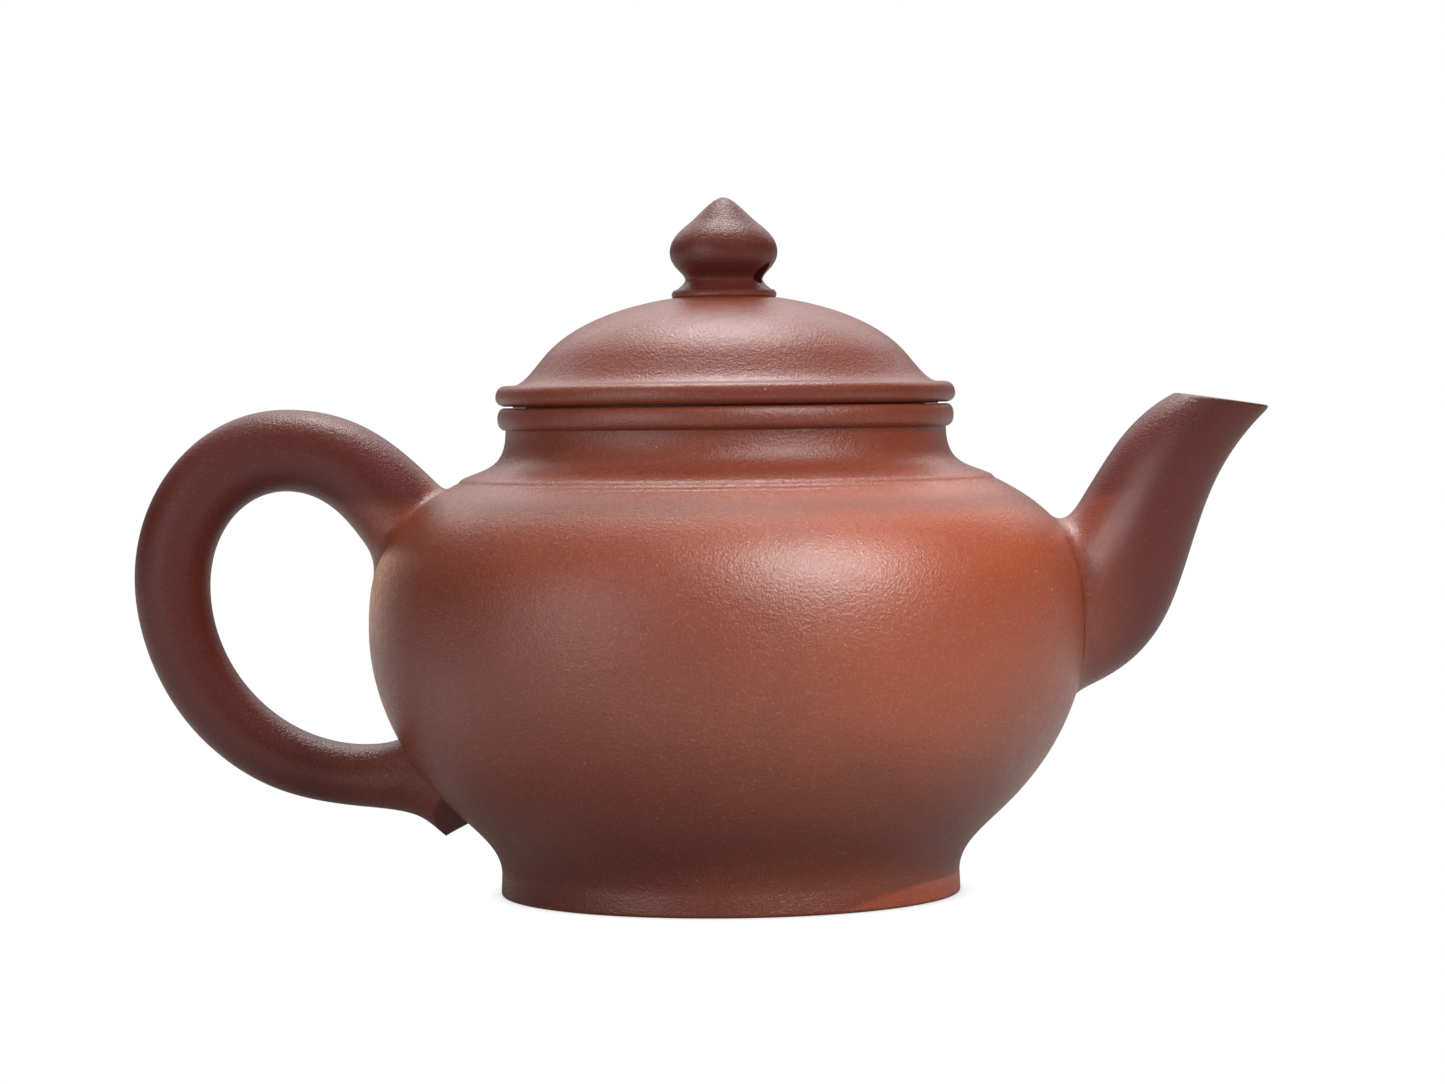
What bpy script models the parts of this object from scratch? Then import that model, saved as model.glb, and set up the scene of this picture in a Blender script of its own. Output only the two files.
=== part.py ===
"""A round unglazed clay teapot, modelled as the separate pieces that a potter lutes together.

Metres, +Z up. The origin is the centre of the foot's resting face, +X points to the spout.
The lid is modelled about its own seat and hangs from two empties on the pot's axis:
lid_lift carries it up and down, lid_turn turns it.
"""

import math

import bmesh
import bpy
from mathutils import Matrix, Vector
from mathutils.geometry import interpolate_bezier

MM = 0.001

# Driving dimensions
BELLY_RADIUS = 50.0 * MM
BELLY_HEIGHT = 37.3 * MM  # height of the widest ring
WALL = 2.8 * MM
GAP = 0.3 * MM  # slip line between two neighbouring pieces
LARGE_STEPS = 40  # facets round a large turned piece
SMALL_STEPS = 24

# Foot
FOOT_RADIUS = 0.64 * BELLY_RADIUS
FOOT_HEIGHT = 3.0 * MM
FLOOR_THICKNESS = 3.0 * MM

# Belly, shoulder and neck
HIP_RADIUS = 39.4 * MM  # where the foot's flare turns into the belly
HIP_HEIGHT = 13.0 * MM
NECK_FOOT_RADIUS = 37.8 * MM
SHOULDER_HEIGHT = 57.3 * MM
SEAM_HEIGHT = 54.5 * MM  # between the belly's wall and the shoulder's disc
SHOULDER_THICKNESS = 2.6 * MM
SHOULDER_BORE_RADIUS = 28.5 * MM
MOUTH_BORE_RADIUS = 28.0 * MM
NECK_TOP_RADIUS = 30.65 * MM
NECK_TOP_HEIGHT = 64.75 * MM
NECK_STEP = 0.8 * MM  # the small upright step where the neck stands on the shoulder
MOUTH_RING_RADIUS = 31.75 * MM

# Lid, with heights measured from its seat on the mouth
LID_SEAT_HEIGHT = 68.0 * MM
LID_PLATE_THICKNESS = 2.4 * MM
LID_PLATE_RADIUS = 29.6 * MM
LID_COLLAR_RADIUS = MOUTH_BORE_RADIUS - 0.4 * MM
LID_COLLAR_DEPTH = 6.0 * MM
LID_WALL = 2.4 * MM
LID_RIM_RADIUS = 32.0 * MM
LID_RIM_HEIGHT = 3.0 * MM
DOME_SPRING_RADIUS = 25.5 * MM  # where the hollow curve above the rim turns into the dome
DOME_SPRING_HEIGHT = 6.6 * MM
DOME_HEIGHT = 15.5 * MM

# Knob and its seat, also from the lid's seat
SEAT_FLANGE_RADIUS = 7.3 * MM
SEAT_WAIST_RADIUS = 5.4 * MM
SEAT_TOP_HEIGHT = 17.4 * MM
KNOB_RADIUS = 7.5 * MM
KNOB_WIDEST_HEIGHT = 21.3 * MM
KNOB_SHOULDER_RADIUS = 4.9 * MM
KNOB_SHOULDER_HEIGHT = 25.5 * MM
KNOB_TIP_HEIGHT = 29.2 * MM
AIR_HOLE_RADIUS = 1.2 * MM
AIR_HOLE_HEIGHT = 18.0 * MM  # of its mouth in the knob's waist
AIR_HOLE_BEARING = math.radians(-28)  # about +Z, from the spout's side
AIR_HOLE_DROP = 1.4 * MM  # how far it falls on its way in to the axis

# Strainer, a small pierced ball cap in the wall behind the spout
STRAINER_HEIGHT = 40.0 * MM
STRAINER_RADIUS = 6.8 * MM
STRAINER_BULGE = 5.0 * MM
STRAINER_WALL = 1.5 * MM
STRAINER_HOLE_RADIUS = 1.0 * MM
STRAINER_RINGS = ((1, 0), (6, 27), (12, 54))  # holes in a ring, and its angle from the middle

# Spout
SPOUT_WALL_ROOT = 2.6 * MM
SPOUT_WALL_TIP = 1.5 * MM
SPOUT_HALF_WIDTH_ROOT = 10.2 * MM
SPOUT_HALF_WIDTH_TIP = 4.9 * MM
SPOUT_STATIONS = 18
SPOUT_FACETS = 24
SPOUT_HEEL = (63.1 * MM, 68.93 * MM)  # inner and outer ends of the cut across its mouth
SPOUT_BEAK = (75.4 * MM, 67.1 * MM)

# Handle
HANDLE_OUTREACH = 77.5 * MM  # from the pot's axis to the middle of the grip
HANDLE_TOP_HEIGHT = 62.45 * MM
HANDLE_LOW_HEIGHT = 16.85 * MM

RADIUS = 0
HEIGHT = 1


def millimetres(*values):
    return tuple(value * MM for value in values)


# ---------------------------------------------------------------- outlines in (radius, height)


def bezier(start, start_pull, end_pull, end, steps):
    """Points of one Bezier stretch, ends included. A pull is a handle, measured from its end."""
    start, end = Vector((*start, 0)), Vector((*end, 0))
    start_handle = start + Vector((*start_pull, 0))
    end_handle = end + Vector((*end_pull, 0))
    points = interpolate_bezier(start, start_handle, end_handle, end, steps + 1)
    return [(point.x, point.y) for point in points]


def join(*stretches):
    """One outline from several stretches, with points that repeat taken once."""
    outline = []
    for stretch in stretches:
        for point in stretch:
            if not outline or math.dist(point, outline[-1]) > 0.01 * MM:
                outline.append(point)
    return outline


def clip(outline, axis, low, high):
    """The stretch of an outline whose radius or height lies between two values."""
    kept = []
    for start, end in zip(outline, outline[1:]):
        travel = end[axis] - start[axis]
        ends = [0.0, 1.0]
        if abs(travel) > 1e-9:
            ends = sorted(((low - start[axis]) / travel, (high - start[axis]) / travel))
        elif not low <= start[axis] <= high:
            continue
        first, last = max(0.0, ends[0]), min(1.0, ends[1])
        if first < last:
            for share in (first, last):
                kept.append(tuple(a + share * (b - a) for a, b in zip(start, end)))
    return join(kept)


def inset(outline, distance):
    """The outline moved towards the inside of the wall, or outwards where distance is negative."""
    moved = []
    for index, point in enumerate(outline):
        before = outline[max(index - 1, 0)]
        after = outline[min(index + 1, len(outline) - 1)]
        along = Vector((after[RADIUS] - before[RADIUS], after[HEIGHT] - before[HEIGHT]))
        along.normalize()
        radius = point[RADIUS] + distance * along.y
        if point[RADIUS] == 0:
            radius = 0.0
        moved.append((radius, point[HEIGHT] - distance * along.x))
    return moved


def shell(outer, inner):
    """A closed outline: down the outer side, and back up the inner side."""
    return join(outer, reversed(inner))


def belly_outline():
    """The pot's outside from the neck's foot down to the foot."""
    neck_foot = (NECK_FOOT_RADIUS, SHOULDER_HEIGHT)
    widest = (BELLY_RADIUS, BELLY_HEIGHT)
    hip = (HIP_RADIUS, HIP_HEIGHT)
    foot = (FOOT_RADIUS, FOOT_HEIGHT)
    return join(
        bezier(neck_foot, millimetres(10.6, -4.8), millimetres(0, 8.8), widest, 8),
        bezier(widest, millimetres(0, -9.2), millimetres(6.4, 6.4), hip, 6),
        bezier(hip, millimetres(-3.4, -3.5), millimetres(0, 3.9), foot, 3),
    )


def dome_outline():
    """The lid's outside from its middle out to the top of its rim."""
    spring = (DOME_SPRING_RADIUS, DOME_SPRING_HEIGHT)
    rim_top = (LID_PLATE_RADIUS, LID_RIM_HEIGHT)
    return join(
        bezier((0, DOME_HEIGHT), millimetres(8.0, 0), millimetres(-5.1, 6.6), spring, 7),
        bezier(spring, millimetres(1.2, -1.4), millimetres(-1.4, 0), rim_top, 3),
    )


# ---------------------------------------------------------------- materials


def clay(name, colour, roughness):
    """Fired clay without glaze."""
    material = bpy.data.materials.new(name)
    material.use_nodes = True
    surface = material.node_tree.nodes["Principled BSDF"]
    surface.inputs["Base Color"].default_value = (*colour, 1.0)
    surface.inputs["Roughness"].default_value = roughness
    surface.inputs["Metallic"].default_value = 0.0
    material.diffuse_color = (*colour, 1.0)
    return material


def burnished_clay(name):
    """The outside, rubbed smooth before firing and polished by use."""
    return clay(name, (0.262, 0.074, 0.040), 0.42)


def raw_clay(name):
    """The inside, left as the tool left it."""
    return clay(name, (0.225, 0.068, 0.040), 0.65)


# ---------------------------------------------------------------- objects


def new_object(name, mesh, collection, material=None, parent=None):
    piece = bpy.data.objects.new(name, mesh)
    collection.objects.link(piece)
    piece.parent = parent
    if material:
        mesh.materials.append(material)
    return piece


def turned(name, outline, collection, material=None, parent=None, steps=LARGE_STEPS):
    """A piece turned about the Z axis from an outline that runs down its outer side."""
    open_on_axis = outline[0][RADIUS] == 0 and outline[-1][RADIUS] == 0
    count = len(outline)
    edges = [(i, i + 1) for i in range(count - 1)]
    if not open_on_axis:
        edges.append((count - 1, 0))
    mesh = bpy.data.meshes.new(name)
    mesh.from_pydata([(radius, 0, height) for radius, height in outline], edges, [])
    piece = new_object(name, mesh, collection, material, parent)
    screw = piece.modifiers.new("turn", "SCREW")
    screw.axis = "Z"
    screw.angle = math.tau
    screw.steps = steps
    screw.render_steps = steps
    screw.use_merge_vertices = True
    screw.merge_threshold = 0.00001
    screw.use_smooth_shade = True
    return piece


def mesh_of(name, build):
    """A mesh made by a function that fills a bmesh, shaded smooth except at sharp edges."""
    shape = bmesh.new()
    build(shape)
    mesh = bpy.data.meshes.new(name)
    shape.to_mesh(mesh)
    shape.free()
    mesh.shade_smooth()
    mesh.set_sharp_from_angle(angle=math.radians(40))
    return mesh


def cut(piece, cutter):
    boolean = piece.modifiers.new("cut " + cutter.name, "BOOLEAN")
    boolean.operation = "DIFFERENCE"
    boolean.solver = "EXACT"
    boolean.object = cutter


def along_line(start, end):
    """A matrix that lays the Z axis along a line, centred on it."""
    start, end = Vector(start), Vector(end)
    turn = (end - start).to_track_quat("Z", "Y").to_matrix().to_4x4()
    return Matrix.Translation((start + end) / 2) @ turn


def rod(shape, start, end, radius, facets):
    """A plain cylinder between two points, added to a bmesh."""
    bmesh.ops.create_cone(
        shape,
        cap_ends=True,
        segments=facets,
        radius1=radius,
        radius2=radius,
        depth=math.dist(start, end),
        matrix=along_line(start, end),
    )


# ---------------------------------------------------------------- pot


def make_foot_disc(parts):
    """The flat disc of clay that the pot stands on."""
    chamfer = 0.5 * MM
    outline = [
        (0, FOOT_HEIGHT - GAP),
        (FOOT_RADIUS, FOOT_HEIGHT - GAP),
        (FOOT_RADIUS, chamfer),
        (FOOT_RADIUS - chamfer, 0),
        (0, 0),
    ]
    return turned("foot_disc", outline, parts, burnished_clay("foot_disc_clay"))


def make_base_disc(parts):
    """The floor of the pot, inside the belly's wall."""
    radius = FOOT_RADIUS - WALL - GAP
    top = FOOT_HEIGHT + FLOOR_THICKNESS
    outline = [(0, top), (radius, top), (radius, FOOT_HEIGHT), (0, FOOT_HEIGHT)]
    return turned("base_disc", outline, parts, raw_clay("base_disc_clay"))


def make_belly_wall(parts, strainer_hole):
    outer = clip(belly_outline(), HEIGHT, FOOT_HEIGHT, SEAM_HEIGHT)
    piece = turned(
        "belly_wall", shell(outer, inset(outer, WALL)), parts, burnished_clay("belly_clay")
    )
    cut(piece, strainer_hole)
    return piece


def make_shoulder_disc(parts):
    """The disc that closes the belly, with the mouth cut out of its middle."""
    sloping = clip(belly_outline(), HEIGHT, SEAM_HEIGHT + GAP, SHOULDER_HEIGHT)
    outer = join([(SHOULDER_BORE_RADIUS, SHOULDER_HEIGHT)], sloping)
    outline = shell(outer, inset(outer, SHOULDER_THICKNESS))
    return turned("shoulder_disc", outline, parts, burnished_clay("shoulder_clay"))


def make_neck_collar(parts):
    bottom = SHOULDER_HEIGHT + GAP
    top = NECK_TOP_HEIGHT - GAP / 2
    step_top = (NECK_FOOT_RADIUS - 0.9 * MM, SHOULDER_HEIGHT + NECK_STEP)
    side = bezier(
        (NECK_TOP_RADIUS, top), millimetres(0, -5.0), millimetres(-2.9, 1.2), step_top, 5
    )
    outline = [(MOUTH_BORE_RADIUS, top), *side, (NECK_FOOT_RADIUS, bottom)]
    outline.append((MOUTH_BORE_RADIUS, bottom))
    return turned("neck_collar", outline, parts, burnished_clay("neck_clay"))


def make_mouth_ring(parts):
    """The raised ring round the mouth, which the lid's rim matches."""
    bottom = NECK_TOP_HEIGHT + GAP / 2
    top = LID_SEAT_HEIGHT - GAP / 2
    edge = 1.0 * MM  # how far the ring's top and bottom lie inside its widest line
    widest = (MOUTH_RING_RADIUS, (top + bottom) / 2)
    pull = 0.27 * (top - bottom)
    upper = bezier(
        (MOUTH_RING_RADIUS - edge, top), (edge / 2, 0), (0, pull), widest, 3
    )
    lower = bezier(
        widest, (0, -pull), (edge / 2, 0), (MOUTH_RING_RADIUS - edge, bottom), 3
    )
    outline = join(
        [(MOUTH_BORE_RADIUS, top)], upper, lower, [(MOUTH_BORE_RADIUS, bottom)]
    )
    return turned("mouth_ring", outline, parts, burnished_clay("mouth_ring_clay"))


def make_strainer(parts, cutters):
    """A ball cap that bulges into the pot, pierced with rings of holes."""
    ball = (STRAINER_RADIUS**2 + STRAINER_BULGE**2) / (2 * STRAINER_BULGE)
    middle = STRAINER_BULGE - ball

    def arc(radius, steps=5):
        widest = math.acos(-middle / radius)
        angles = [widest * step / steps for step in range(steps + 1)]
        return [(radius * math.sin(a), middle + radius * math.cos(a)) for a in angles]

    def pierce(shape):
        for count, tilt in STRAINER_RINGS:
            for turn in range(count):
                direction = Vector((0, 0, 1))
                direction.rotate(Matrix.Rotation(math.radians(tilt), 3, "X"))
                direction.rotate(Matrix.Rotation(math.tau * turn / count, 3, "Z"))
                centre = Vector((0, 0, middle))
                start = centre + direction * (ball - STRAINER_WALL - 0.6 * MM)
                end = centre + direction * (ball + 1.0 * MM)
                rod(shape, start, end, STRAINER_HOLE_RADIUS, 8)

    seat = (BELLY_RADIUS - 1.2 * MM, 0, STRAINER_HEIGHT)
    facing_in = (0, math.radians(-90), 0)
    outline = shell(arc(ball), arc(ball - STRAINER_WALL))
    piece = turned("spout_strainer", outline, parts, raw_clay("strainer_clay"), steps=SMALL_STEPS)
    holes = new_object("strainer_holes", mesh_of("strainer_holes", pierce), cutters)
    for item in (piece, holes):
        item.location = seat
        item.rotation_euler = facing_in
    cut(piece, holes)
    return piece


# ---------------------------------------------------------------- spout and handle


def spread(line, count):
    """The same line as points that are equally far apart."""
    lengths = [0.0]
    for start, end in zip(line, line[1:]):
        lengths.append(lengths[-1] + math.dist(start, end))
    points = []
    for step in range(count):
        wanted = lengths[-1] * step / (count - 1)
        index = min(max(1, sum(length < wanted for length in lengths)), len(line) - 1)
        share = (wanted - lengths[index - 1]) / (lengths[index] - lengths[index - 1])
        start, end = line[index - 1], line[index]
        points.append(tuple(a + share * (b - a) for a, b in zip(start, end)))
    return points


def spout_rails():
    """The spout's two edges seen from the side, both from inside the belly to past the mouth."""
    throat = join(
        [millimetres(43.0, 41.5)],
        bezier(
            millimetres(46.5, 48.5),
            millimetres(0.65, 1.3),
            millimetres(-2.75, -3.6),
            millimetres(54.7, 62.3),
            8,
        ),
        bezier(
            millimetres(54.7, 62.3),
            millimetres(5.1, 6.7),
            millimetres(-0.7, -0.4),
            millimetres(66.0, 70.3),
            8,
        ),
    )
    breast = join(
        [millimetres(39.0, 24.2)],
        bezier(
            millimetres(46.0, 26.6),
            millimetres(7.8, 2.7),
            millimetres(-3.4, -8.8),
            millimetres(62.5, 41.0),
            10,
        ),
        bezier(
            millimetres(62.5, 41.0),
            millimetres(4.2, 11.0),
            millimetres(-12.1, -9.7),
            millimetres(79.0, 69.6),
            10,
        ),
    )
    return spread(throat, SPOUT_STATIONS), spread(breast, SPOUT_STATIONS)


def spout_loft(shape, bore):
    """Oval rings hung between the spout's two edges, closed at both ends."""
    rings = []
    for index, (upper, lower) in enumerate(zip(*spout_rails())):
        share = index / (SPOUT_STATIONS - 1)
        wall = SPOUT_WALL_ROOT + share * (SPOUT_WALL_TIP - SPOUT_WALL_ROOT)
        width = SPOUT_HALF_WIDTH_ROOT + share * (SPOUT_HALF_WIDTH_TIP - SPOUT_HALF_WIDTH_ROOT)
        upper, lower = Vector((upper[0], 0, upper[1])), Vector((lower[0], 0, lower[1]))
        centre = (upper + lower) / 2
        reach = (upper - lower) / 2
        if bore:
            reach = reach.normalized() * (reach.length - wall)
            width -= wall
        angles = [math.tau * facet / SPOUT_FACETS for facet in range(SPOUT_FACETS)]
        across = Vector((0, width, 0))
        rings.append(
            [shape.verts.new(centre + reach * math.cos(a) + across * math.sin(a)) for a in angles]
        )
    for near, far in zip(rings, rings[1:]):
        for i in range(SPOUT_FACETS):
            j = (i + 1) % SPOUT_FACETS
            shape.faces.new((near[i], near[j], far[j], far[i]))
    shape.faces.new(reversed(rings[0]))
    shape.faces.new(rings[-1])
    bmesh.ops.recalc_face_normals(shape, faces=shape.faces)


def mouth_cutter(shape):
    """A block above the sloping line where the spout is cut off."""
    block = 30 * MM
    heel, beak = Vector((SPOUT_HEEL[0], 0, SPOUT_HEEL[1])), Vector((SPOUT_BEAK[0], 0, SPOUT_BEAK[1]))
    slope = math.atan2(beak.z - heel.z, beak.x - heel.x)
    turn = Matrix.Rotation(-slope, 4, "Y")
    middle = (heel + beak) / 2 + turn @ Vector((0, 0, block / 2))
    bmesh.ops.create_cube(shape, size=block, matrix=Matrix.Translation(middle) @ turn)


def make_spout(parts, cutters, envelope):
    piece = new_object(
        "spout", mesh_of("spout", lambda shape: spout_loft(shape, False)), parts,
        burnished_clay("spout_clay"),
    )
    cut(piece, new_object("spout_mouth_line", mesh_of("spout_mouth_line", mouth_cutter), cutters))
    bore = mesh_of("spout_bore", lambda shape: spout_loft(shape, True))
    cut(piece, new_object("spout_bore", bore, cutters))
    cut(piece, envelope)
    return piece


def handle_path():
    """Middle line of the handle: place, pull back, pull on, and thickness."""
    root, tail = millimetres(-42.5, 48.5), millimetres(-37.0, 11.4)
    top = (-61.8 * MM, HANDLE_TOP_HEIGHT)
    back = (-HANDLE_OUTREACH, 44.0 * MM)
    low = (-50.0 * MM, HANDLE_LOW_HEIGHT)
    return (
        (root, millimetres(4.0, -7.0), millimetres(-3.8, 7.0), 15.0 * MM),
        (top, millimetres(9.3, 0), millimetres(-9.3, 0), 11.4 * MM),
        (back, millimetres(0, 9.0), millimetres(0, -15.6), 10.5 * MM),
        (low, millimetres(-14.7, 0), millimetres(4.0, 0), 9.0 * MM),
        (tail, millimetres(-3.0, 2.6), millimetres(2.0, -1.7), 7.0 * MM),
    )


def make_handle(parts, envelope):
    """A tapered roll of clay, bent into an ear and trimmed to the belly at both ends."""
    path = handle_path()
    curve = bpy.data.curves.new("handle_path", "CURVE")
    curve.dimensions = "3D"
    curve.resolution_u = 9
    curve.bevel_mode = "ROUND"
    curve.bevel_resolution = 4
    curve.bevel_depth = 1.0 * MM
    curve.use_fill_caps = True
    spline = curve.splines.new("BEZIER")
    spline.radius_interpolation = "CARDINAL"
    spline.bezier_points.add(len(path) - 1)
    for point, (*lines, thickness) in zip(spline.bezier_points, path):
        place, back, on = (Vector((x, 0, z)) for x, z in lines)
        point.co = place
        point.handle_left = place + back
        point.handle_right = place + on
        point.radius = thickness / 2 / curve.bevel_depth
    guide = bpy.data.objects.new("handle_guide", curve)
    parts.objects.link(guide)
    bpy.context.view_layer.update()
    evaluated = guide.evaluated_get(bpy.context.evaluated_depsgraph_get())
    roll = bpy.data.meshes.new_from_object(evaluated)
    roll.name = "handle"

    def weld(shape):
        shape.from_mesh(roll)
        bmesh.ops.remove_doubles(shape, verts=shape.verts, dist=0.01 * MM)

    piece = new_object("handle", mesh_of("handle", weld), parts, burnished_clay("handle_clay"))
    piece.matrix_world = guide.matrix_world
    bpy.data.objects.remove(guide)
    cut(piece, envelope)
    return piece


# ---------------------------------------------------------------- lid


def make_lid_plate(parts, parent):
    """The flat ring that rests on the mouth."""
    inner = LID_COLLAR_RADIUS - LID_WALL
    bottom, top = GAP / 2, GAP / 2 + LID_PLATE_THICKNESS
    outline = [
        (inner, top),
        (LID_PLATE_RADIUS, top),
        (LID_PLATE_RADIUS, bottom),
        (inner, bottom),
    ]
    return turned("lid_plate", outline, parts, raw_clay("lid_plate_clay"), parent)


def make_lid_rim(parts, parent):
    """The bead round the lid's edge."""
    inner = LID_PLATE_RADIUS + GAP
    bottom = GAP / 2
    widest = (LID_RIM_RADIUS, 1.3 * MM)
    upper_edge = (inner + 0.4 * MM, LID_RIM_HEIGHT)
    lower_edge = (LID_RIM_RADIUS - 1.3 * MM, bottom)
    outline = join(
        [(inner, LID_RIM_HEIGHT)],
        bezier(upper_edge, millimetres(0.8, 0), millimetres(0, 0.9), widest, 4),
        bezier(widest, millimetres(0, -0.6), millimetres(0.6, 0), lower_edge, 3),
        [(inner, bottom)],
    )
    return turned("lid_rim", outline, parts, burnished_clay("lid_rim_clay"), parent)


def make_lid_collar(parts, parent):
    """The ring under the lid that keeps it centred in the mouth."""
    inner = LID_COLLAR_RADIUS - LID_WALL
    chamfer = 0.4 * MM
    outline = [
        (inner, -GAP / 2),
        (LID_COLLAR_RADIUS, -GAP / 2),
        (LID_COLLAR_RADIUS, chamfer - LID_COLLAR_DEPTH),
        (LID_COLLAR_RADIUS - chamfer, -LID_COLLAR_DEPTH),
        (inner, -LID_COLLAR_DEPTH),
    ]
    return turned("lid_collar", outline, parts, raw_clay("lid_collar_clay"), parent)


def make_lid_dome(parts, parent, air_holes):
    bottom = LID_RIM_HEIGHT - 0.1 * MM
    outer = dome_outline()
    inner = clip(inset(outer, LID_WALL), HEIGHT, bottom, DOME_HEIGHT)
    outline = shell(join(outer, [(LID_PLATE_RADIUS, bottom)]), inner)
    piece = turned("lid_dome", outline, parts, burnished_clay("lid_dome_clay"), parent)
    cut(piece, air_holes[1])
    return piece


def make_knob_seat(parts, parent, air_holes):
    """The small stepped button between the lid and its knob."""
    underside = clip(inset(dome_outline(), -GAP), RADIUS, 0, SEAT_FLANGE_RADIUS - 0.3 * MM)
    outline = join(
        [(0, SEAT_TOP_HEIGHT), (SEAT_WAIST_RADIUS, SEAT_TOP_HEIGHT)],
        [millimetres(6.9, 16.2), (SEAT_FLANGE_RADIUS, 15.7 * MM)],
        reversed(underside),
    )
    piece = turned(
        "knob_seat", outline, parts, burnished_clay("knob_seat_clay"), parent, SMALL_STEPS
    )
    for hole in air_holes:
        cut(piece, hole)
    return piece


def make_knob(parts, parent, air_holes):
    """A pear-shaped knob with a drawn-up tip."""
    tip = (0, KNOB_TIP_HEIGHT)
    shoulder = (KNOB_SHOULDER_RADIUS, KNOB_SHOULDER_HEIGHT)
    widest = (KNOB_RADIUS, KNOB_WIDEST_HEIGHT)
    waist = (SEAT_WAIST_RADIUS - 0.1 * MM, SEAT_TOP_HEIGHT + GAP)
    outline = join(
        bezier(tip, millimetres(1.2, 0), millimetres(-1.5, 1.2), shoulder, 5),
        bezier(shoulder, millimetres(1.1, -0.9), millimetres(0, 1.9), widest, 4),
        bezier(widest, millimetres(0, -2.2), millimetres(0.3, 0.8), waist, 5),
        [(0, SEAT_TOP_HEIGHT + GAP)],
    )
    piece = turned("knob", outline, parts, burnished_clay("knob_clay"), parent, SMALL_STEPS)
    for hole in air_holes:
        cut(piece, hole)
    return piece


def make_air_holes(cutters, parent):
    """Two cutters: one in from the knob's waist to the axis, one down the axis into the lid."""
    bearing = Vector((math.cos(AIR_HOLE_BEARING), math.sin(AIR_HOLE_BEARING), 0))
    mouth = bearing * SEAT_WAIST_RADIUS + Vector((0, 0, AIR_HOLE_HEIGHT))
    meeting = Vector((0, 0, AIR_HOLE_HEIGHT - AIR_HOLE_DROP))
    outside = mouth + (mouth - meeting) * 0.8
    top = meeting + Vector((0, 0, 0.5 * MM))
    bottom = Vector((0, 0, DOME_HEIGHT - LID_WALL - 2 * MM))
    holes = []
    for name, start, end in (("side_hole", outside, meeting), ("down_hole", top, bottom)):
        mesh = mesh_of(name, lambda shape: rod(shape, start, end, AIR_HOLE_RADIUS, 12))
        holes.append(new_object(name, mesh, cutters, parent=parent))
    return holes


# ---------------------------------------------------------------- assembly


def new_collection(name):
    collection = bpy.data.collections.new(name)
    bpy.context.scene.collection.children.link(collection)
    return collection


def new_axis(name, parts, height, parent=None):
    """An empty on the pot's axis, for pieces that move along it or turn about it."""
    axis = bpy.data.objects.new(name, None)
    axis.empty_display_size = 20 * MM
    axis.location = (0, 0, height)
    axis.parent = parent
    parts.objects.link(axis)
    return axis


def make_envelope(cutters):
    """The pot's outside grown by one gap, which trims the handle's and the spout's roots."""
    height = SHOULDER_HEIGHT + 3 * MM
    side = inset(belly_outline(), -GAP)
    outline = join([(0, height), (NECK_FOOT_RADIUS + GAP, height)], side, [(0, FOOT_HEIGHT)])
    return turned("envelope", outline, cutters)


def make_strainer_hole(cutters):
    def build(shape):
        start = (BELLY_RADIUS - 10 * MM, 0, STRAINER_HEIGHT)
        end = (BELLY_RADIUS + 10 * MM, 0, STRAINER_HEIGHT)
        rod(shape, start, end, STRAINER_RADIUS + GAP, SMALL_STEPS)

    return new_object("strainer_hole", mesh_of("strainer_hole", build), cutters)


def main():
    for item in list(bpy.data.objects):
        bpy.data.objects.remove(item)
    parts = new_collection("clay_teapot")
    cutters = new_collection("cutters")

    envelope = make_envelope(cutters)
    make_foot_disc(parts)
    make_base_disc(parts)
    make_belly_wall(parts, make_strainer_hole(cutters))
    make_shoulder_disc(parts)
    make_neck_collar(parts)
    make_mouth_ring(parts)
    make_strainer(parts, cutters)
    make_spout(parts, cutters, envelope)
    make_handle(parts, envelope)

    lid_lift = new_axis("lid_lift", parts, LID_SEAT_HEIGHT)
    lid_turn = new_axis("lid_turn", parts, 0, lid_lift)
    air_holes = make_air_holes(cutters, lid_turn)
    make_lid_collar(parts, lid_lift)
    make_lid_plate(parts, lid_turn)
    make_lid_rim(parts, lid_turn)
    make_lid_dome(parts, lid_turn, air_holes)
    make_knob_seat(parts, lid_turn, air_holes)
    make_knob(parts, lid_turn, air_holes)

    for cutter in cutters.objects:
        cutter.hide_render = True
        cutter.display_type = "WIRE"


main()
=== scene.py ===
"""Looks for a round unglazed clay teapot: fine turned and drawn surfaces, fired clay, studio light.

Metres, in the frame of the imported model: +Z up, the foot stands on Z 0, the spout points to +X.
Each piece stands for one node of the frame. Pieces that are luted together share their edges,
so that the fired pot shows no seams other than the creases that it really has.
"""

import math

import bmesh
import bpy
import numpy as np
from mathutils import Matrix, Vector


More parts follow.
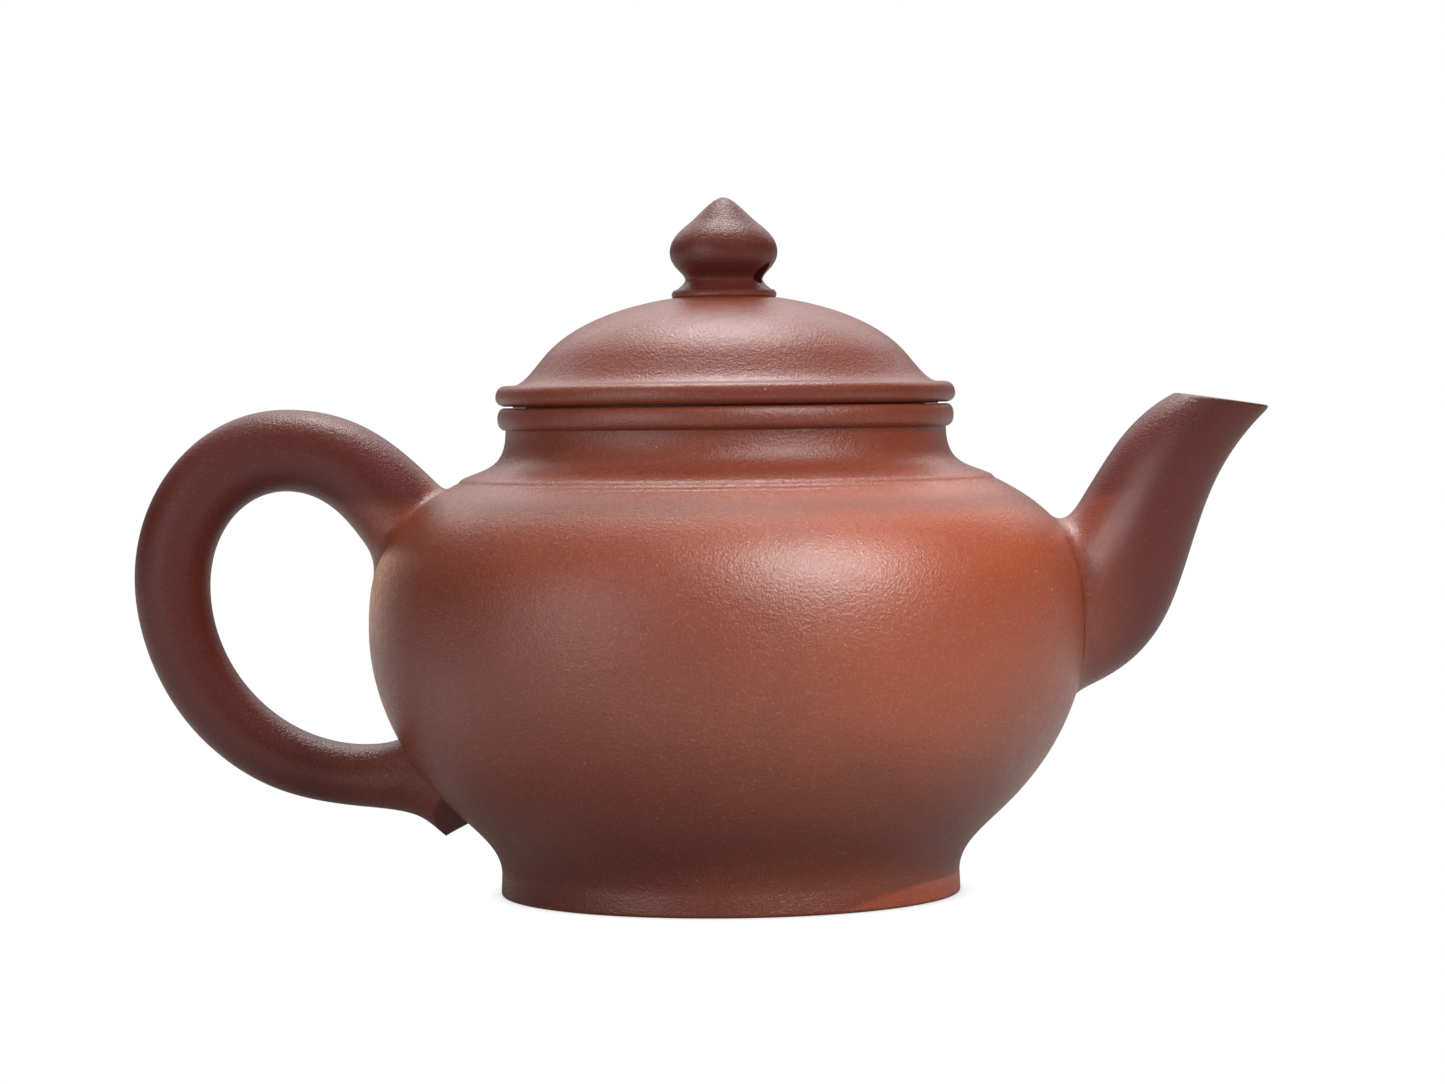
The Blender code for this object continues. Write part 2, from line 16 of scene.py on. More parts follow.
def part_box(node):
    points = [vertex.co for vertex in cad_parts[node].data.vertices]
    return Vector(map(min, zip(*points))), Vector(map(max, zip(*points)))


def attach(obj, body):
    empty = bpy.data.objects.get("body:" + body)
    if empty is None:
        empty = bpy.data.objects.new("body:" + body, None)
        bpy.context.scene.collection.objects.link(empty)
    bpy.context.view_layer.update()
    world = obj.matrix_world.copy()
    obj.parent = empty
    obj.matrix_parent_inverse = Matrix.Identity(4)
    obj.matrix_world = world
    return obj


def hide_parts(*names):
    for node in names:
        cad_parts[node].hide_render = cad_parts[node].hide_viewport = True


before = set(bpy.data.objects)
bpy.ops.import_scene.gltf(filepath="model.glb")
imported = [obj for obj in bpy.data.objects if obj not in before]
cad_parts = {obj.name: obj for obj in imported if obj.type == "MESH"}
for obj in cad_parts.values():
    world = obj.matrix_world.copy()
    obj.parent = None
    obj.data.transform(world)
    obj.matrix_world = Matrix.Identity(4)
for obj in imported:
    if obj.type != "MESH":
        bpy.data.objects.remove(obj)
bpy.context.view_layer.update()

MM = 0.001


def lowest(node):
    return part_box(node)[0]


def highest(node):
    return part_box(node)[1]


# Sizes read from the frame
BELLY_RADIUS = highest("belly_wall").y
FOOT_RADIUS = highest("foot_disc").x
FOOT_TOP = lowest("belly_wall").z
FLOOR_TOP = highest("base_disc").z
SEAM_HEIGHT = highest("belly_wall").z
SHOULDER_HEIGHT = highest("shoulder_disc").z
NECK_FOOT_RADIUS = highest("neck_collar").x
NECK_TOP = (highest("neck_collar").z + lowest("mouth_ring").z) / 2
MOUTH_RADIUS = highest("mouth_ring").x
LID_SEAT = (highest("mouth_ring").z + lowest("lid_plate").z) / 2
COLLAR_RADIUS = highest("lid_collar").x
COLLAR_BOTTOM = lowest("lid_collar").z
RIM_RADIUS = highest("lid_rim").x
RIM_TOP = highest("lid_rim").z
DOME_RADIUS = highest("lid_dome").x
DOME_TOP = highest("lid_dome").z
SEAT_RADIUS = highest("knob_seat").x
KNOB_RADIUS = highest("knob").x
KNOB_TIP = highest("knob").z
STRAINER_OUT = highest("spout_strainer").x
STRAINER_HEIGHT = (lowest("spout_strainer").z + highest("spout_strainer").z) / 2
STRAINER_RADIUS = highest("spout_strainer").y
HANDLE_REACH = lowest("handle").x
HANDLE_TOP = highest("handle").z

# Own sizes
WALL = 2.8 * MM
BORE_RADIUS = COLLAR_RADIUS + 0.4 * MM
LID_GAP = 0.1 * MM  # above and below the line where the lid sits on the mouth
MOUTH_TOP = LID_SEAT - LID_GAP
COLLAR_TOP = MOUTH_TOP - 0.2 * MM
REST_GAP = 0.02 * MM
LID_WALL = 2.4 * MM
PLATE_TOP = LID_SEAT + 2.5 * MM
AIR_BEARING = math.radians(-28)
TAIL_TIP = (-39.6, 8.1)  # where the handle's tail ends, in millimetres
TAIL_RIDGE = (0.894, 0.447)  # direction from the tip in to the belly
HAND_PUSH = 0.014 * MM
SINK_REACH = 0.35 * MM  # how far a limb's lowest edge runs on under the belly's skin
SINK_DEPTH = 0.03 * MM

# Fineness of the meshes
LARGE_STEPS = 256
SMALL_STEPS = 128
SPACING = 0.55 * MM
FINE = 0.14 * MM
END_SHARES = (0.1, 0.3, 0.6)  # closer points next to the end of a stroke, in spacings

OUTSIDE, INSIDE = 0, 1  # material indices


# ---------------------------------------------------------------- lines


def at(*values):
    return np.array(values) * MM


def curve(start, start_pull, end_pull, end, count=300):
    """Dense points of one Bezier stretch. A pull is a handle in millimetres, from its own end."""
    start, end = np.asarray(start, float), np.asarray(end, float)
    first, second = start + at(*start_pull), end + at(*end_pull)
    share = np.linspace(0, 1, count)[:, None]
    rest = 1 - share
    return rest**3 * start + 3 * rest**2 * share * first + 3 * rest * share**2 * second + share**3 * end


def corner(start, tip, end, count=7):
    """A soft corner: leaves start towards the tip and arrives at end from the tip."""
    start, tip, end = (np.asarray(point, float) for point in (start, tip, end))
    share = np.linspace(0, 1, count)[:, None]
    return (1 - share) ** 2 * start + 2 * share * (1 - share) * tip + share**2 * end


def chain(*stretches):
    """One line from several stretches, with a point that repeats taken once."""
    line = [np.asarray(stretches[0], float)]
    for stretch in stretches[1:]:
        stretch = np.asarray(stretch, float)
        if np.allclose(stretch[0], line[-1][-1], atol=1e-7):
            stretch = stretch[1:]
        line.append(stretch)
    return np.concatenate(line)


def travel_along(line):
    steps = np.linalg.norm(np.diff(line, axis=0), axis=1)
    return np.concatenate(([0.0], np.cumsum(steps)))


def points_at(line, travel, marks):
    return np.column_stack([np.interp(marks, travel, column) for column in line.T])


def spaced(line, spacing=SPACING):
    """The line as points about one spacing apart, closer together near both its ends."""
    line = np.asarray(line, float)
    travel = travel_along(line)
    length = travel[-1]
    marks = np.linspace(0, length, max(1, round(length / spacing)) + 1)
    step = marks[1]
    near = step * np.array(END_SHARES)
    marks = np.unique(np.concatenate((marks, near, length - near)))
    return points_at(line, travel, marks)


def evenly(line, count):
    travel = travel_along(line)
    return points_at(line, travel, np.linspace(0, travel[-1], count))


def inset(line, distance):
    """The inside of a wall, from the line that runs down or out along its outside."""
    along = np.gradient(line, axis=0)
    along /= np.linalg.norm(along, axis=1)[:, None]
    return line + distance * np.column_stack((along[:, 1], -along[:, 0]))


def between(line, low, high):
    """The stretch of a falling line between two heights."""
    order = line[::-1]
    ends = [(np.interp(height, order[:, 1], order[:, 0]), height) for height in (high, low)]
    kept = line[(line[:, 1] < high - 1e-7) & (line[:, 1] > low + 1e-7)]
    return np.concatenate(([ends[0]], kept, [ends[1]]))


# ---------------------------------------------------------------- outlines in (radius, height)


def pot_outline():
    """The pot's outside from the neck's foot down to the top of its foot."""
    neck_foot = (NECK_FOOT_RADIUS, SHOULDER_HEIGHT)
    widest = (BELLY_RADIUS, 37.3 * MM)
    hip = at(39.4, 13.0)
    foot = (FOOT_RADIUS - 0.05 * MM, FOOT_TOP)
    return chain(
        curve(neck_foot, (9.8, -5.0), (0, 9.4), widest),
        curve(widest, (0, -9.2), (6.4, 6.4), hip),
        curve(hip, (-3.4, -3.5), (0, 3.9), foot),
    )


def dome_outline():
    """The lid's outside from its middle out to the top of its rim."""
    spring = (25.5 * MM, LID_SEAT + 6.6 * MM)
    return chain(
        curve((0, DOME_TOP), (8.0, 0), (-5.1, 6.6), spring),
        curve(spring, (1.2, -1.4), (-1.4, 0), (DOME_RADIUS, RIM_TOP)),
    )


POT = pot_outline()


def pot_radius(height):
    return np.interp(height, POT[::-1, 1], POT[::-1, 0])


def above_pot(points):
    """How far points lie outside the belly, measured level. Below zero they are inside it."""
    return np.hypot(points[..., 0], points[..., 1]) - pot_radius(points[..., 2])


def settle(points):
    """The small unevenness of a pot that is made by hand, as a slight push out from its axis."""
    x, y, z = (points[..., axis] / MM for axis in range(3))
    wave = np.sin(0.11 * x + 0.17 * z + 0.4) + np.sin(0.13 * y - 0.09 * z + 1.9)
    wave += 0.7 * np.sin(0.21 * (x - y) + 0.12 * z) + 0.5 * np.sin(0.26 * (x + y) - 0.19 * z + 2.6)
    push = HAND_PUSH * wave * np.clip(np.hypot(x, y) / 10, 0, 1)
    scale = 1 + push / np.maximum(np.hypot(points[..., 0], points[..., 1]), 1e-6)
    settled = points.copy()
    settled[..., 0] *= scale
    settled[..., 1] *= scale
    return settled


def on_pot(points):
    """The points moved level onto the belly's surface."""
    scale = pot_radius(points[..., 2]) / np.hypot(points[..., 0], points[..., 1])
    placed = points.copy()
    placed[..., 0] *= scale
    placed[..., 1] *= scale
    return placed


def pot_normals(points, finished=False):
    """The belly's outward directions at points on it, with its unevenness where it is finished."""
    step = 0.05 * MM
    turn = step / BELLY_RADIUS
    shape = settle if finished else (lambda place: place)

    def shifted(rise, angle):
        moved = points @ np.array(Matrix.Rotation(angle, 3, "Z")).T
        moved[..., 2] += rise
        return shape(on_pot(moved))

    up = shifted(step, 0) - shifted(-step, 0)
    round_ = shifted(0, turn) - shifted(0, -turn)
    normals = np.cross(round_, up)
    return normals / np.linalg.norm(normals, axis=-1)[..., None]


# ---------------------------------------------------------------- meshes and pieces


def mesh_from(name, points, faces, finish=None):
    mesh = bpy.data.meshes.new(name)
    mesh.from_pydata([tuple(map(float, point)) for point in points], [], faces)
    if finish is not None:
        mesh.polygons.foreach_set("material_index", finish)
    mesh.update()
    return mesh


def turned(name, strokes, steps=LARGE_STEPS):
    """A closed solid turned about the Z axis. The strokes, each a line and a material index,
    run down the outside and back up the inside, or end on the axis."""
    outline, finish = [], []
    for line, material in strokes:
        line = list(line)
        if outline and np.allclose(line[0], outline[-1], atol=1e-8):
            line = line[1:]
        finish += [material] * (len(line) if outline else len(line) - 1)
        outline += line
    looped = np.allclose(outline[0], outline[-1], atol=1e-8)
    if looped:
        outline.pop()
    angles = np.arange(steps) * math.tau / steps
    points, rings = [], []
    for radius, height in outline:
        first = len(points)
        if radius < 1e-8:
            points.append((0.0, 0.0, height))
            rings.append([first] * steps)
        else:
            points += [(radius * math.cos(a), radius * math.sin(a), height) for a in angles]
            rings.append(list(range(first, first + steps)))
    if looped:
        rings.append(rings[0])
    faces, materials = [], []
    for upper, lower, material in zip(rings, rings[1:], finish):
        for i in range(steps):
            j = (i + 1) % steps
            corners = [upper[i], lower[i], lower[j], upper[j]]
            corners = [c for k, c in enumerate(corners) if c not in corners[:k]]
            if len(corners) > 2:
                faces.append(corners)
                materials.append(material)
    return mesh_from(name, points, faces, materials)


def grid_mesh(name, rows, pole=None):
    """A mesh from rows of points, each row a ring. The last row meets the first, or, where a pole
    is given, the first row closes on that point and the last row on itself."""
    count = len(rows[0])
    points = np.concatenate(rows)
    faces = []
    for row in range(len(rows) if pole is None else len(rows) - 1):
        near, far = row * count, (row + 1) % len(rows) * count
        for i in range(count):
            j = (i + 1) % count
            faces.append((near + i, near + j, far + j, far + i))
    if pole is not None:
        points = np.concatenate((points, [pole]))
        faces += [((i + 1) % count, i, len(points) - 1) for i in range(count)]
    return mesh_from(name, points, faces)


def rods_mesh(name, rods, facets=32):
    """Plain cutters: a rod for each start, end, start radius and end radius."""
    shape = bmesh.new()
    for start, end, start_radius, end_radius in rods:
        start, end = Vector(start), Vector(end)
        turn = (end - start).to_track_quat("Z", "Y").to_matrix().to_4x4()
        bmesh.ops.create_cone(
            shape,
            cap_ends=True,
            segments=facets,
            radius1=start_radius,
            radius2=end_radius,
            depth=(end - start).length,
            matrix=Matrix.Translation((start + end) / 2) @ turn,
        )
    mesh = bpy.data.meshes.new(name)
    shape.to_mesh(mesh)
    shape.free()
    return mesh


def cut(mesh, *cutters):
    """The mesh with each cutter mesh taken out of it."""
    name = mesh.name
    collection = bpy.context.scene.collection
    body = bpy.data.objects.new(name + "_uncut", mesh)
    collection.objects.link(body)
    tools = []
    for cutter in cutters:
        tool = bpy.data.objects.new(cutter.name, cutter)
        collection.objects.link(tool)
        tools.append(tool)
        boolean = body.modifiers.new(cutter.name, "BOOLEAN")
        boolean.operation = "DIFFERENCE"
        boolean.solver = "EXACT"
        boolean.object = tool
    bpy.context.view_layer.update()
    evaluated = body.evaluated_get(bpy.context.evaluated_depsgraph_get())
    result = bpy.data.meshes.new_from_object(evaluated)
    for item in (body, *tools):
        bpy.data.objects.remove(item)
    result.name = name
    return result


def tidy(mesh, weld=0.004 * MM):
    """Welds points that coincide and turns every face outwards."""
    shape = bmesh.new()
    shape.from_mesh(mesh)
    bmesh.ops.remove_doubles(shape, verts=shape.verts, dist=weld)
    bmesh.ops.dissolve_degenerate(shape, edges=shape.edges, dist=weld / 4)
    bmesh.ops.recalc_face_normals(shape, faces=shape.faces)
    shape.to_mesh(mesh)
    shape.free()
    return mesh


def coordinates(mesh):
    flat = np.zeros(len(mesh.vertices) * 3)
    mesh.vertices.foreach_get("co", flat)
    return flat.reshape(-1, 3)


def meet_pot(mesh, lowest_height):
    """Shades a limb's edge with the belly's own directions, so that the two flow together."""
    points = coordinates(mesh)
    reach = np.abs(above_pot(points)) < 0.08 * MM
    reach &= points[:, 2] > lowest_height
    normals = np.zeros_like(points)
    normals[reach] = pot_normals(points[reach], finished=True)
    return normals


def piece(node, body, mesh, materials, sharp_angle=50, flow_above=None):
    """Settles a mesh and makes it the piece that stands for a node."""
    flow = None if flow_above is None else meet_pot(mesh, flow_above)
    mesh.vertices.foreach_set("co", settle(coordinates(mesh)).ravel())
    mesh.materials.clear()
    for material in materials:
        mesh.materials.append(material)
    mesh.shade_smooth()
    mesh.set_sharp_from_angle(angle=math.radians(sharp_angle))
    if flow is not None:
        mesh.normals_split_custom_set_from_vertices([tuple(normal) for normal in flow])
    mesh.update()
    made = bpy.data.objects.new(node + "_fired", mesh)
    bpy.context.scene.collection.objects.link(made)
    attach(made, body)
    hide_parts(node)
    return made


# ---------------------------------------------------------------- materials


class Nodes:
    """Short forms for building one material's node tree."""

    def __init__(self, tree):
        self.tree = tree

    def new(self, kind, inputs=None, **settings):
        node = self.tree.nodes.new(kind)
        for name, value in settings.items():
            setattr(node, name, value)
        for name, value in (inputs or {}).items():
            if isinstance(value, bpy.types.NodeSocket):
                self.tree.links.new(value, node.inputs[name])
            else:
                node.inputs[name].default_value = value
        return node

    def maths(self, operation, first, second=0.0, clamp=False):
        node = self.new("ShaderNodeMath", {0: first, 1: second}, operation=operation)
        node.use_clamp = clamp
        return node.outputs[0]

    def noise(self, vector, per_metre, detail=2.0, roughness=0.5):
        inputs = {"Vector": vector, "Scale": per_metre, "Detail": detail, "Roughness": roughness}
        return self.new("ShaderNodeTexNoise", inputs).outputs["Fac"]

    def ramp(self, value, low, high, start=0.0, end=1.0):
        """Maps a value from low..high to start..end, smoothly and clamped."""
        inputs = {"Value": value, "From Min": low, "From Max": high, "To Min": start, "To Max": end}
        node = self.new("ShaderNodeMapRange", inputs, interpolation_type="SMOOTHSTEP")
        return node.outputs["Result"]

    def mix(self, share, first, second):
        node = self.new("ShaderNodeMix", data_type="RGBA")
        for socket, value in ((node.inputs[0], share), (node.inputs[6], first), (node.inputs[7], second)):
            if isinstance(value, bpy.types.NodeSocket):
                self.tree.links.new(value, socket)
            else:
                socket.default_value = value
        return node.outputs[2]

    def grains(self, vector, spacing, radius, share):
        """A mask of round grains: about one cell in a share holds one."""
        inputs = {"Vector": vector, "Scale": 1 / spacing, "Randomness": 1.0}
        cells = self.new("ShaderNodeTexVoronoi", inputs)
        picked = self.new("ShaderNodeSeparateColor", {"Color": cells.outputs["Color"]})
        present = self.maths("LESS_THAN", picked.outputs[0], share)
        size = self.ramp(picked.outputs[1], 0.0, 1.0, 0.5 * radius / spacing, radius / spacing)
        inner = self.maths("MULTIPLY", size, 0.55)
        distance = cells.outputs["Distance"]
        edge = self.maths("SUBTRACT", size, distance)
        soft = self.maths("DIVIDE", edge, self.maths("SUBTRACT", size, inner), clamp=True)
        return self.maths("MULTIPLY", soft, present)


def new_material(name):
    material = bpy.data.materials.new(name)
    material.use_nodes = True
    material.node_tree.nodes.clear()
    return material, Nodes(material.node_tree)


def colour(red, green, blue):
    return (red, green, blue, 1.0)


# Fired clay, in linear colour
CLAY = colour(0.245, 0.050, 0.027)
CLAY_WARM = colour(0.270, 0.060, 0.028)
CLAY_DARK = colour(0.205, 0.043, 0.026)
# Painted warm light, partly an orange firing flash: the clay drawn more orange where the warm lamp falls on
# the belly's front right.
CLAY_LIT_FLASH = colour(0.345, 0.067, 0.025)
# Painted shade: the darker clay drawn where less light falls.
CLAY_SHADED = colour(0.118, 0.022, 0.015)
PALE_GRAIN = colour(0.62, 0.36, 0.24)
DARK_GRAIN = colour(0.045, 0.018, 0.016)
# Middle of that painted pool of warm light.
LIT_FLASH_CENTRE = (33 * MM, -38 * MM, 44 * MM)


def painted_shade_share(build, place):
    """Painted shade: how far the clay is drawn darker where less light falls, on the spout, the handle and
    its root, the knob, partly on the neck and lid, and towards the pot's bottom.
    """
    axes = build.new("ShaderNodeSeparateXYZ", {"Vector": place})
    level = build.new("ShaderNodeCombineXYZ", {"X": axes.outputs["X"], "Y": axes.outputs["Y"]})
    reach = build.new("ShaderNodeVectorMath", {0: level.outputs[0]}, operation="LENGTH").outputs["Value"]
    height = axes.outputs["Z"]
    limbs = build.ramp(reach, BELLY_RADIUS - 3 * MM, BELLY_RADIUS + 9 * MM)
    root = build.ramp(reach, NECK_FOOT_RADIUS + 1.5 * MM, NECK_FOOT_RADIUS + 6 * MM)
    above = build.ramp(height, SHOULDER_HEIGHT - 4.5 * MM, SHOULDER_HEIGHT - 1 * MM)
    root = build.maths("MULTIPLY", root, above)
    knob = build.ramp(height, DOME_TOP - 0.4 * MM, DOME_TOP + 0.4 * MM)
    upper = build.ramp(height, SHOULDER_HEIGHT - 1 * MM, NECK_TOP - 2 * MM, 0.0, 0.35)
    foot = build.ramp(height, 2 * MM, 12 * MM, 0.35, 0.0)
    share = build.maths("MAXIMUM", limbs, root)
    share = build.maths("MAXIMUM", share, knob)
    share = build.maths("MAXIMUM", share, upper)
    return build.maths("MAXIMUM", share, foot)


def clay_colour(build, place):
    """Uneven firing over large areas, finer mottling, a painted pool of warm light on the belly's front right
    that is partly an orange firing flash, painted shade where less light falls, and grains of other minerals.
    """
    cloud = build.ramp(build.noise(place, 28, detail=3.0), 0.32, 0.68)
    base = build.mix(cloud, CLAY, CLAY_WARM)
    mottle = build.ramp(build.noise(place, 160, detail=4.0, roughness=0.6), 0.35, 0.75, 0.0, 0.4)
    base = build.mix(mottle, base, CLAY_DARK)
    # Painted warm light, partly a firing flash: the clay turns more orange round a spot on the belly's front
    # right.
    away = build.new("ShaderNodeVectorMath", {0: place, 1: LIT_FLASH_CENTRE}, operation="DISTANCE")
    drift = build.ramp(build.noise(place, 45, detail=2.0), 0.3, 0.7, -6 * MM, 6 * MM)
    away = build.maths("ADD", away.outputs["Value"], drift)
    base = build.mix(build.ramp(away, 10 * MM, 38 * MM, 0.8, 0.0), base, CLAY_LIT_FLASH)
    # Painted shade: the clay drawn darker on the spout, the handle and its root, the knob, partly on the neck
    # and lid, and low down.
    shaded = painted_shade_share(build, place)
    base = build.mix(shaded, base, CLAY_SHADED)
    # Fewer pale grains show where the shade is painted.
    unshaded_share = build.maths("SUBTRACT", 1.0, build.maths("MULTIPLY", shaded, 0.75))
    sand = build.ramp(build.noise(place, 2600, detail=2.0), 0.5, 0.75, 0.0, 0.13)
    base = build.mix(build.maths("MULTIPLY", sand, unshaded_share), base, PALE_GRAIN)
    pale = build.grains(place, 2.4 * MM, 0.18 * MM, 0.34)
    pale = build.maths("MULTIPLY", pale, unshaded_share)
    base = build.mix(build.maths("MULTIPLY", pale, 0.7), base, PALE_GRAIN)
    fine = build.grains(place, 1.0 * MM, 0.11 * MM, 0.28)
    fine = build.maths("MULTIPLY", fine, unshaded_share)
    base = build.mix(build.maths("MULTIPLY", fine, 0.4), base, PALE_GRAIN)
    dark = build.grains(place, 4.7 * MM, 0.22 * MM, 0.16)
    base = build.mix(build.maths("MULTIPLY", dark, 0.8), base, DARK_GRAIN)
    return base, pale, shaded


def burnished_clay():
    """The outside: rubbed smooth while leather-hard, so that it has a soft, grainy shine."""
    material, build = new_material("burnished_clay")
    place = build.new("ShaderNodeTexCoord").outputs["Object"]
    base, pale, shaded = clay_colour(build, place)
    level = build.new("ShaderNodeMapping", {"Vector": place, "Scale": (1.0, 1.0, 2.2)}).outputs[0]

    peel = build.noise(level, 900, detail=2.0)
    skin = build.noise(place, 2700, detail=3.0, roughness=0.65)
    rubbed = build.noise(level, 130, detail=2.0)
    height = build.maths("MULTIPLY", peel, 0.9)
    height = build.maths("ADD", height, build.maths("MULTIPLY", skin, 2.0))
    height = build.maths("ADD", height, build.maths("MULTIPLY", rubbed, 0.4))
    height = build.maths("ADD", height, build.maths("MULTIPLY", pale, 0.25))
    bump = build.new("ShaderNodeBump", {"Height": height, "Distance": 0.048 * MM, "Strength": 1.0})

    roughness = build.ramp(build.noise(place, 700, detail=3.0), 0.3, 0.7, 0.26, 0.33)
    # Where shade is painted the clay is also a little rougher and less glossy.
    roughness = build.maths("ADD", roughness, build.maths("MULTIPLY", shaded, 0.05))
    bend = build.maths("SUBTRACT", 1.70, build.maths("MULTIPLY", shaded, 0.16))
    surface = build.new(
        "ShaderNodeBsdfPrincipled",
        {"Base Color": base, "Roughness": roughness, "IOR": bend, "Normal": bump.outputs[0]},
    )
    build.new("ShaderNodeOutputMaterial", {"Surface": surface.outputs[0]})
    return material


def raw_clay():
    """The inside: left as the tool left it, drier and rougher, with scraped rings."""
    material, build = new_material("raw_clay")
    place = build.new("ShaderNodeTexCoord").outputs["Object"]
    base, pale, _ = clay_colour(build, place)
    ringed = build.new("ShaderNodeMapping", {"Vector": place, "Scale": (0.25, 0.25, 4.0)}).outputs[0]
    scrape = build.noise(ringed, 330, detail=4.0, roughness=0.6)
    skin = build.noise(place, 1800, detail=4.0, roughness=0.7)
    height = build.maths("ADD", scrape, build.maths("MULTIPLY", skin, 0.6))
    height = build.maths("ADD", height, build.maths("MULTIPLY", pale, 0.3))
    bump = build.new("ShaderNodeBump", {"Height": height, "Distance": 0.12 * MM, "Strength": 1.0})
    roughness = build.ramp(build.noise(place, 500, detail=3.0), 0.3, 0.7, 0.62, 0.78)
    surface = build.new(
        "ShaderNodeBsdfPrincipled",
        {"Base Color": base, "Roughness": roughness, "IOR": 1.45, "Normal": bump.outputs[0]},
    )
    build.new("ShaderNodeOutputMaterial", {"Surface": surface.outputs[0]})
    return material


burnished = burnished_clay()
raw = raw_clay()
OUTER_AND_INNER = (burnished, raw)


# ---------------------------------------------------------------- pot


def make_foot_disc():
    """The disc that the pot stands on, with its lower edge rubbed round."""
    top = (FOOT_RADIUS - 0.05 * MM, FOOT_TOP)
    side = (FOOT_RADIUS + 0.05 * MM, 0.5 * MM)
    under = (FOOT_RADIUS - 0.45 * MM, 0.0)
    strokes = (
        ([(0, FOOT_TOP), top], INSIDE),
        (spaced([top, side]), OUTSIDE),
        (corner(side, (FOOT_RADIUS + 0.06 * MM, 0), under), OUTSIDE),
        (spaced([under, (0, 0)], 2 * MM), OUTSIDE),
    )
    mesh = turned("foot_disc_fired", strokes)
    piece("foot_disc", "pot", mesh, OUTER_AND_INNER)


def make_base_disc():
    """The pot's floor, smoothed up into the wall with a fingertip."""
    rise = 2.2 * MM
    wall = between(inset(POT, WALL), FOOT_TOP, FLOOR_TOP + rise)
    edge = wall[0]
    fillet = corner(edge, (edge[0], FLOOR_TOP), (edge[0] - 3 * MM, FLOOR_TOP), 12)[::-1]
    strokes = (
        (spaced([(0, FLOOR_TOP), fillet[0]], 1.5 * MM), INSIDE),
        (fillet, INSIDE),
        (spaced(wall), INSIDE),
        ([wall[-1], (0, FOOT_TOP)], INSIDE),
    )
    mesh = turned("base_disc_fired", strokes)
    piece("base_disc", "pot", mesh, OUTER_AND_INNER)


def make_belly_wall():
    outer = between(POT, FOOT_TOP, SEAM_HEIGHT)
    inner = inset(outer, WALL)
    strokes = (
        (spaced(outer), OUTSIDE),
        ([outer[-1], inner[-1]], INSIDE),
        (spaced(inner[::-1], 0.8 * MM), INSIDE),
        ([inner[0], outer[0]], INSIDE),
    )
    mesh = turned("belly_wall_fired", strokes)
    out, radius = 10 * MM, STRAINER_RADIUS
    start, end = (STRAINER_OUT - out, 0, STRAINER_HEIGHT), (STRAINER_OUT + out, 0, STRAINER_HEIGHT)
    mesh = cut(mesh, rods_mesh("strainer_hole", [(start, end, radius, radius)], 64))
    piece("belly_wall", "pot", mesh, OUTER_AND_INNER)


def make_shoulder_disc():
    """The disc that closes the belly. Its bore has a soft lower edge."""
    outer = between(POT, SEAM_HEIGHT, SHOULDER_HEIGHT)
    inner = inset(outer, WALL)[::-1]
    soft = 0.8 * MM
    under = inner[-1][1] - 0.1 * MM
    bore = BORE_RADIUS
    strokes = (
        ([(bore, SHOULDER_HEIGHT), outer[0]], INSIDE),
        (spaced(outer), OUTSIDE),
        ([outer[-1], inner[0]], INSIDE),
        (spaced(chain(inner, [(bore + soft, under)]), 0.8 * MM), INSIDE),
        (corner((bore + soft, under), (bore, under), (bore, under + soft)), INSIDE),
        ([(bore, under + soft), (bore, SHOULDER_HEIGHT)], INSIDE),
    )
    mesh = turned("shoulder_disc_fired", strokes)
    piece("shoulder_disc", "pot", mesh, OUTER_AND_INNER)


def make_neck_collar():
    """The hollow-curved neck, with the small soft step where it stands on the shoulder."""
    top = (30.65 * MM, NECK_TOP)
    step_top = (NECK_FOOT_RADIUS - 1.5 * MM, SHOULDER_HEIGHT + 1.0 * MM)
    riser = (NECK_FOOT_RADIUS - 0.45 * MM, SHOULDER_HEIGHT + 0.25 * MM)
    side = curve(top, (0, -5.0), (-3.1, 1.25), step_top)
    brow = corner(step_top, (NECK_FOOT_RADIUS - 0.9 * MM, SHOULDER_HEIGHT + 0.8 * MM), riser, 9)
    shelf = between(POT, SHOULDER_HEIGHT - 0.55 * MM, SHOULDER_HEIGHT)
    toe = corner(riser, (NECK_FOOT_RADIUS + 0.12 * MM, SHOULDER_HEIGHT - 0.13 * MM), shelf[-1], 8)
    bore = BORE_RADIUS
    strokes = (
        ([(bore, NECK_TOP), top], INSIDE),
        (spaced(side, 0.4 * MM), OUTSIDE),
        (brow, OUTSIDE),
        (toe, OUTSIDE),
        (shelf[::-1][:: max(1, len(shelf) // 3)], INSIDE),
        ([shelf[0], (bore, SHOULDER_HEIGHT)], INSIDE),
        (spaced([(bore, SHOULDER_HEIGHT), (bore, NECK_TOP)], 1.5 * MM), INSIDE),
    )
    mesh = turned("neck_collar_fired", strokes)
    piece("neck_collar", "pot", mesh, OUTER_AND_INNER)


def make_mouth_ring():
    """The bead round the mouth."""
    top = MOUTH_TOP
    bottom = (30.65 * MM, NECK_TOP)
    widest = (MOUTH_RADIUS, (top + NECK_TOP) / 2 + 0.05 * MM)
    brink = (MOUTH_RADIUS - 0.95 * MM, top)
    soft = 0.45 * MM
    bore = BORE_RADIUS
    bead = chain(
        curve(brink, (0.62, -0.02), (0, 0.85), widest), curve(widest, (0, -0.95), (0.75, 0.1), bottom)
    )
    strokes = (
        ([(bore + soft, top), brink], INSIDE),
        (spaced(bead, FINE), OUTSIDE),
        ([bottom, (bore, NECK_TOP)], INSIDE),
        (spaced([(bore, NECK_TOP), (bore, top - soft)], 1.0 * MM), INSIDE),
        (corner((bore, top - soft), (bore, top), (bore + soft, top)), INSIDE),
    )
    mesh = turned("mouth_ring_fired", strokes)
    piece("mouth_ring", "pot", mesh, OUTER_AND_INNER)


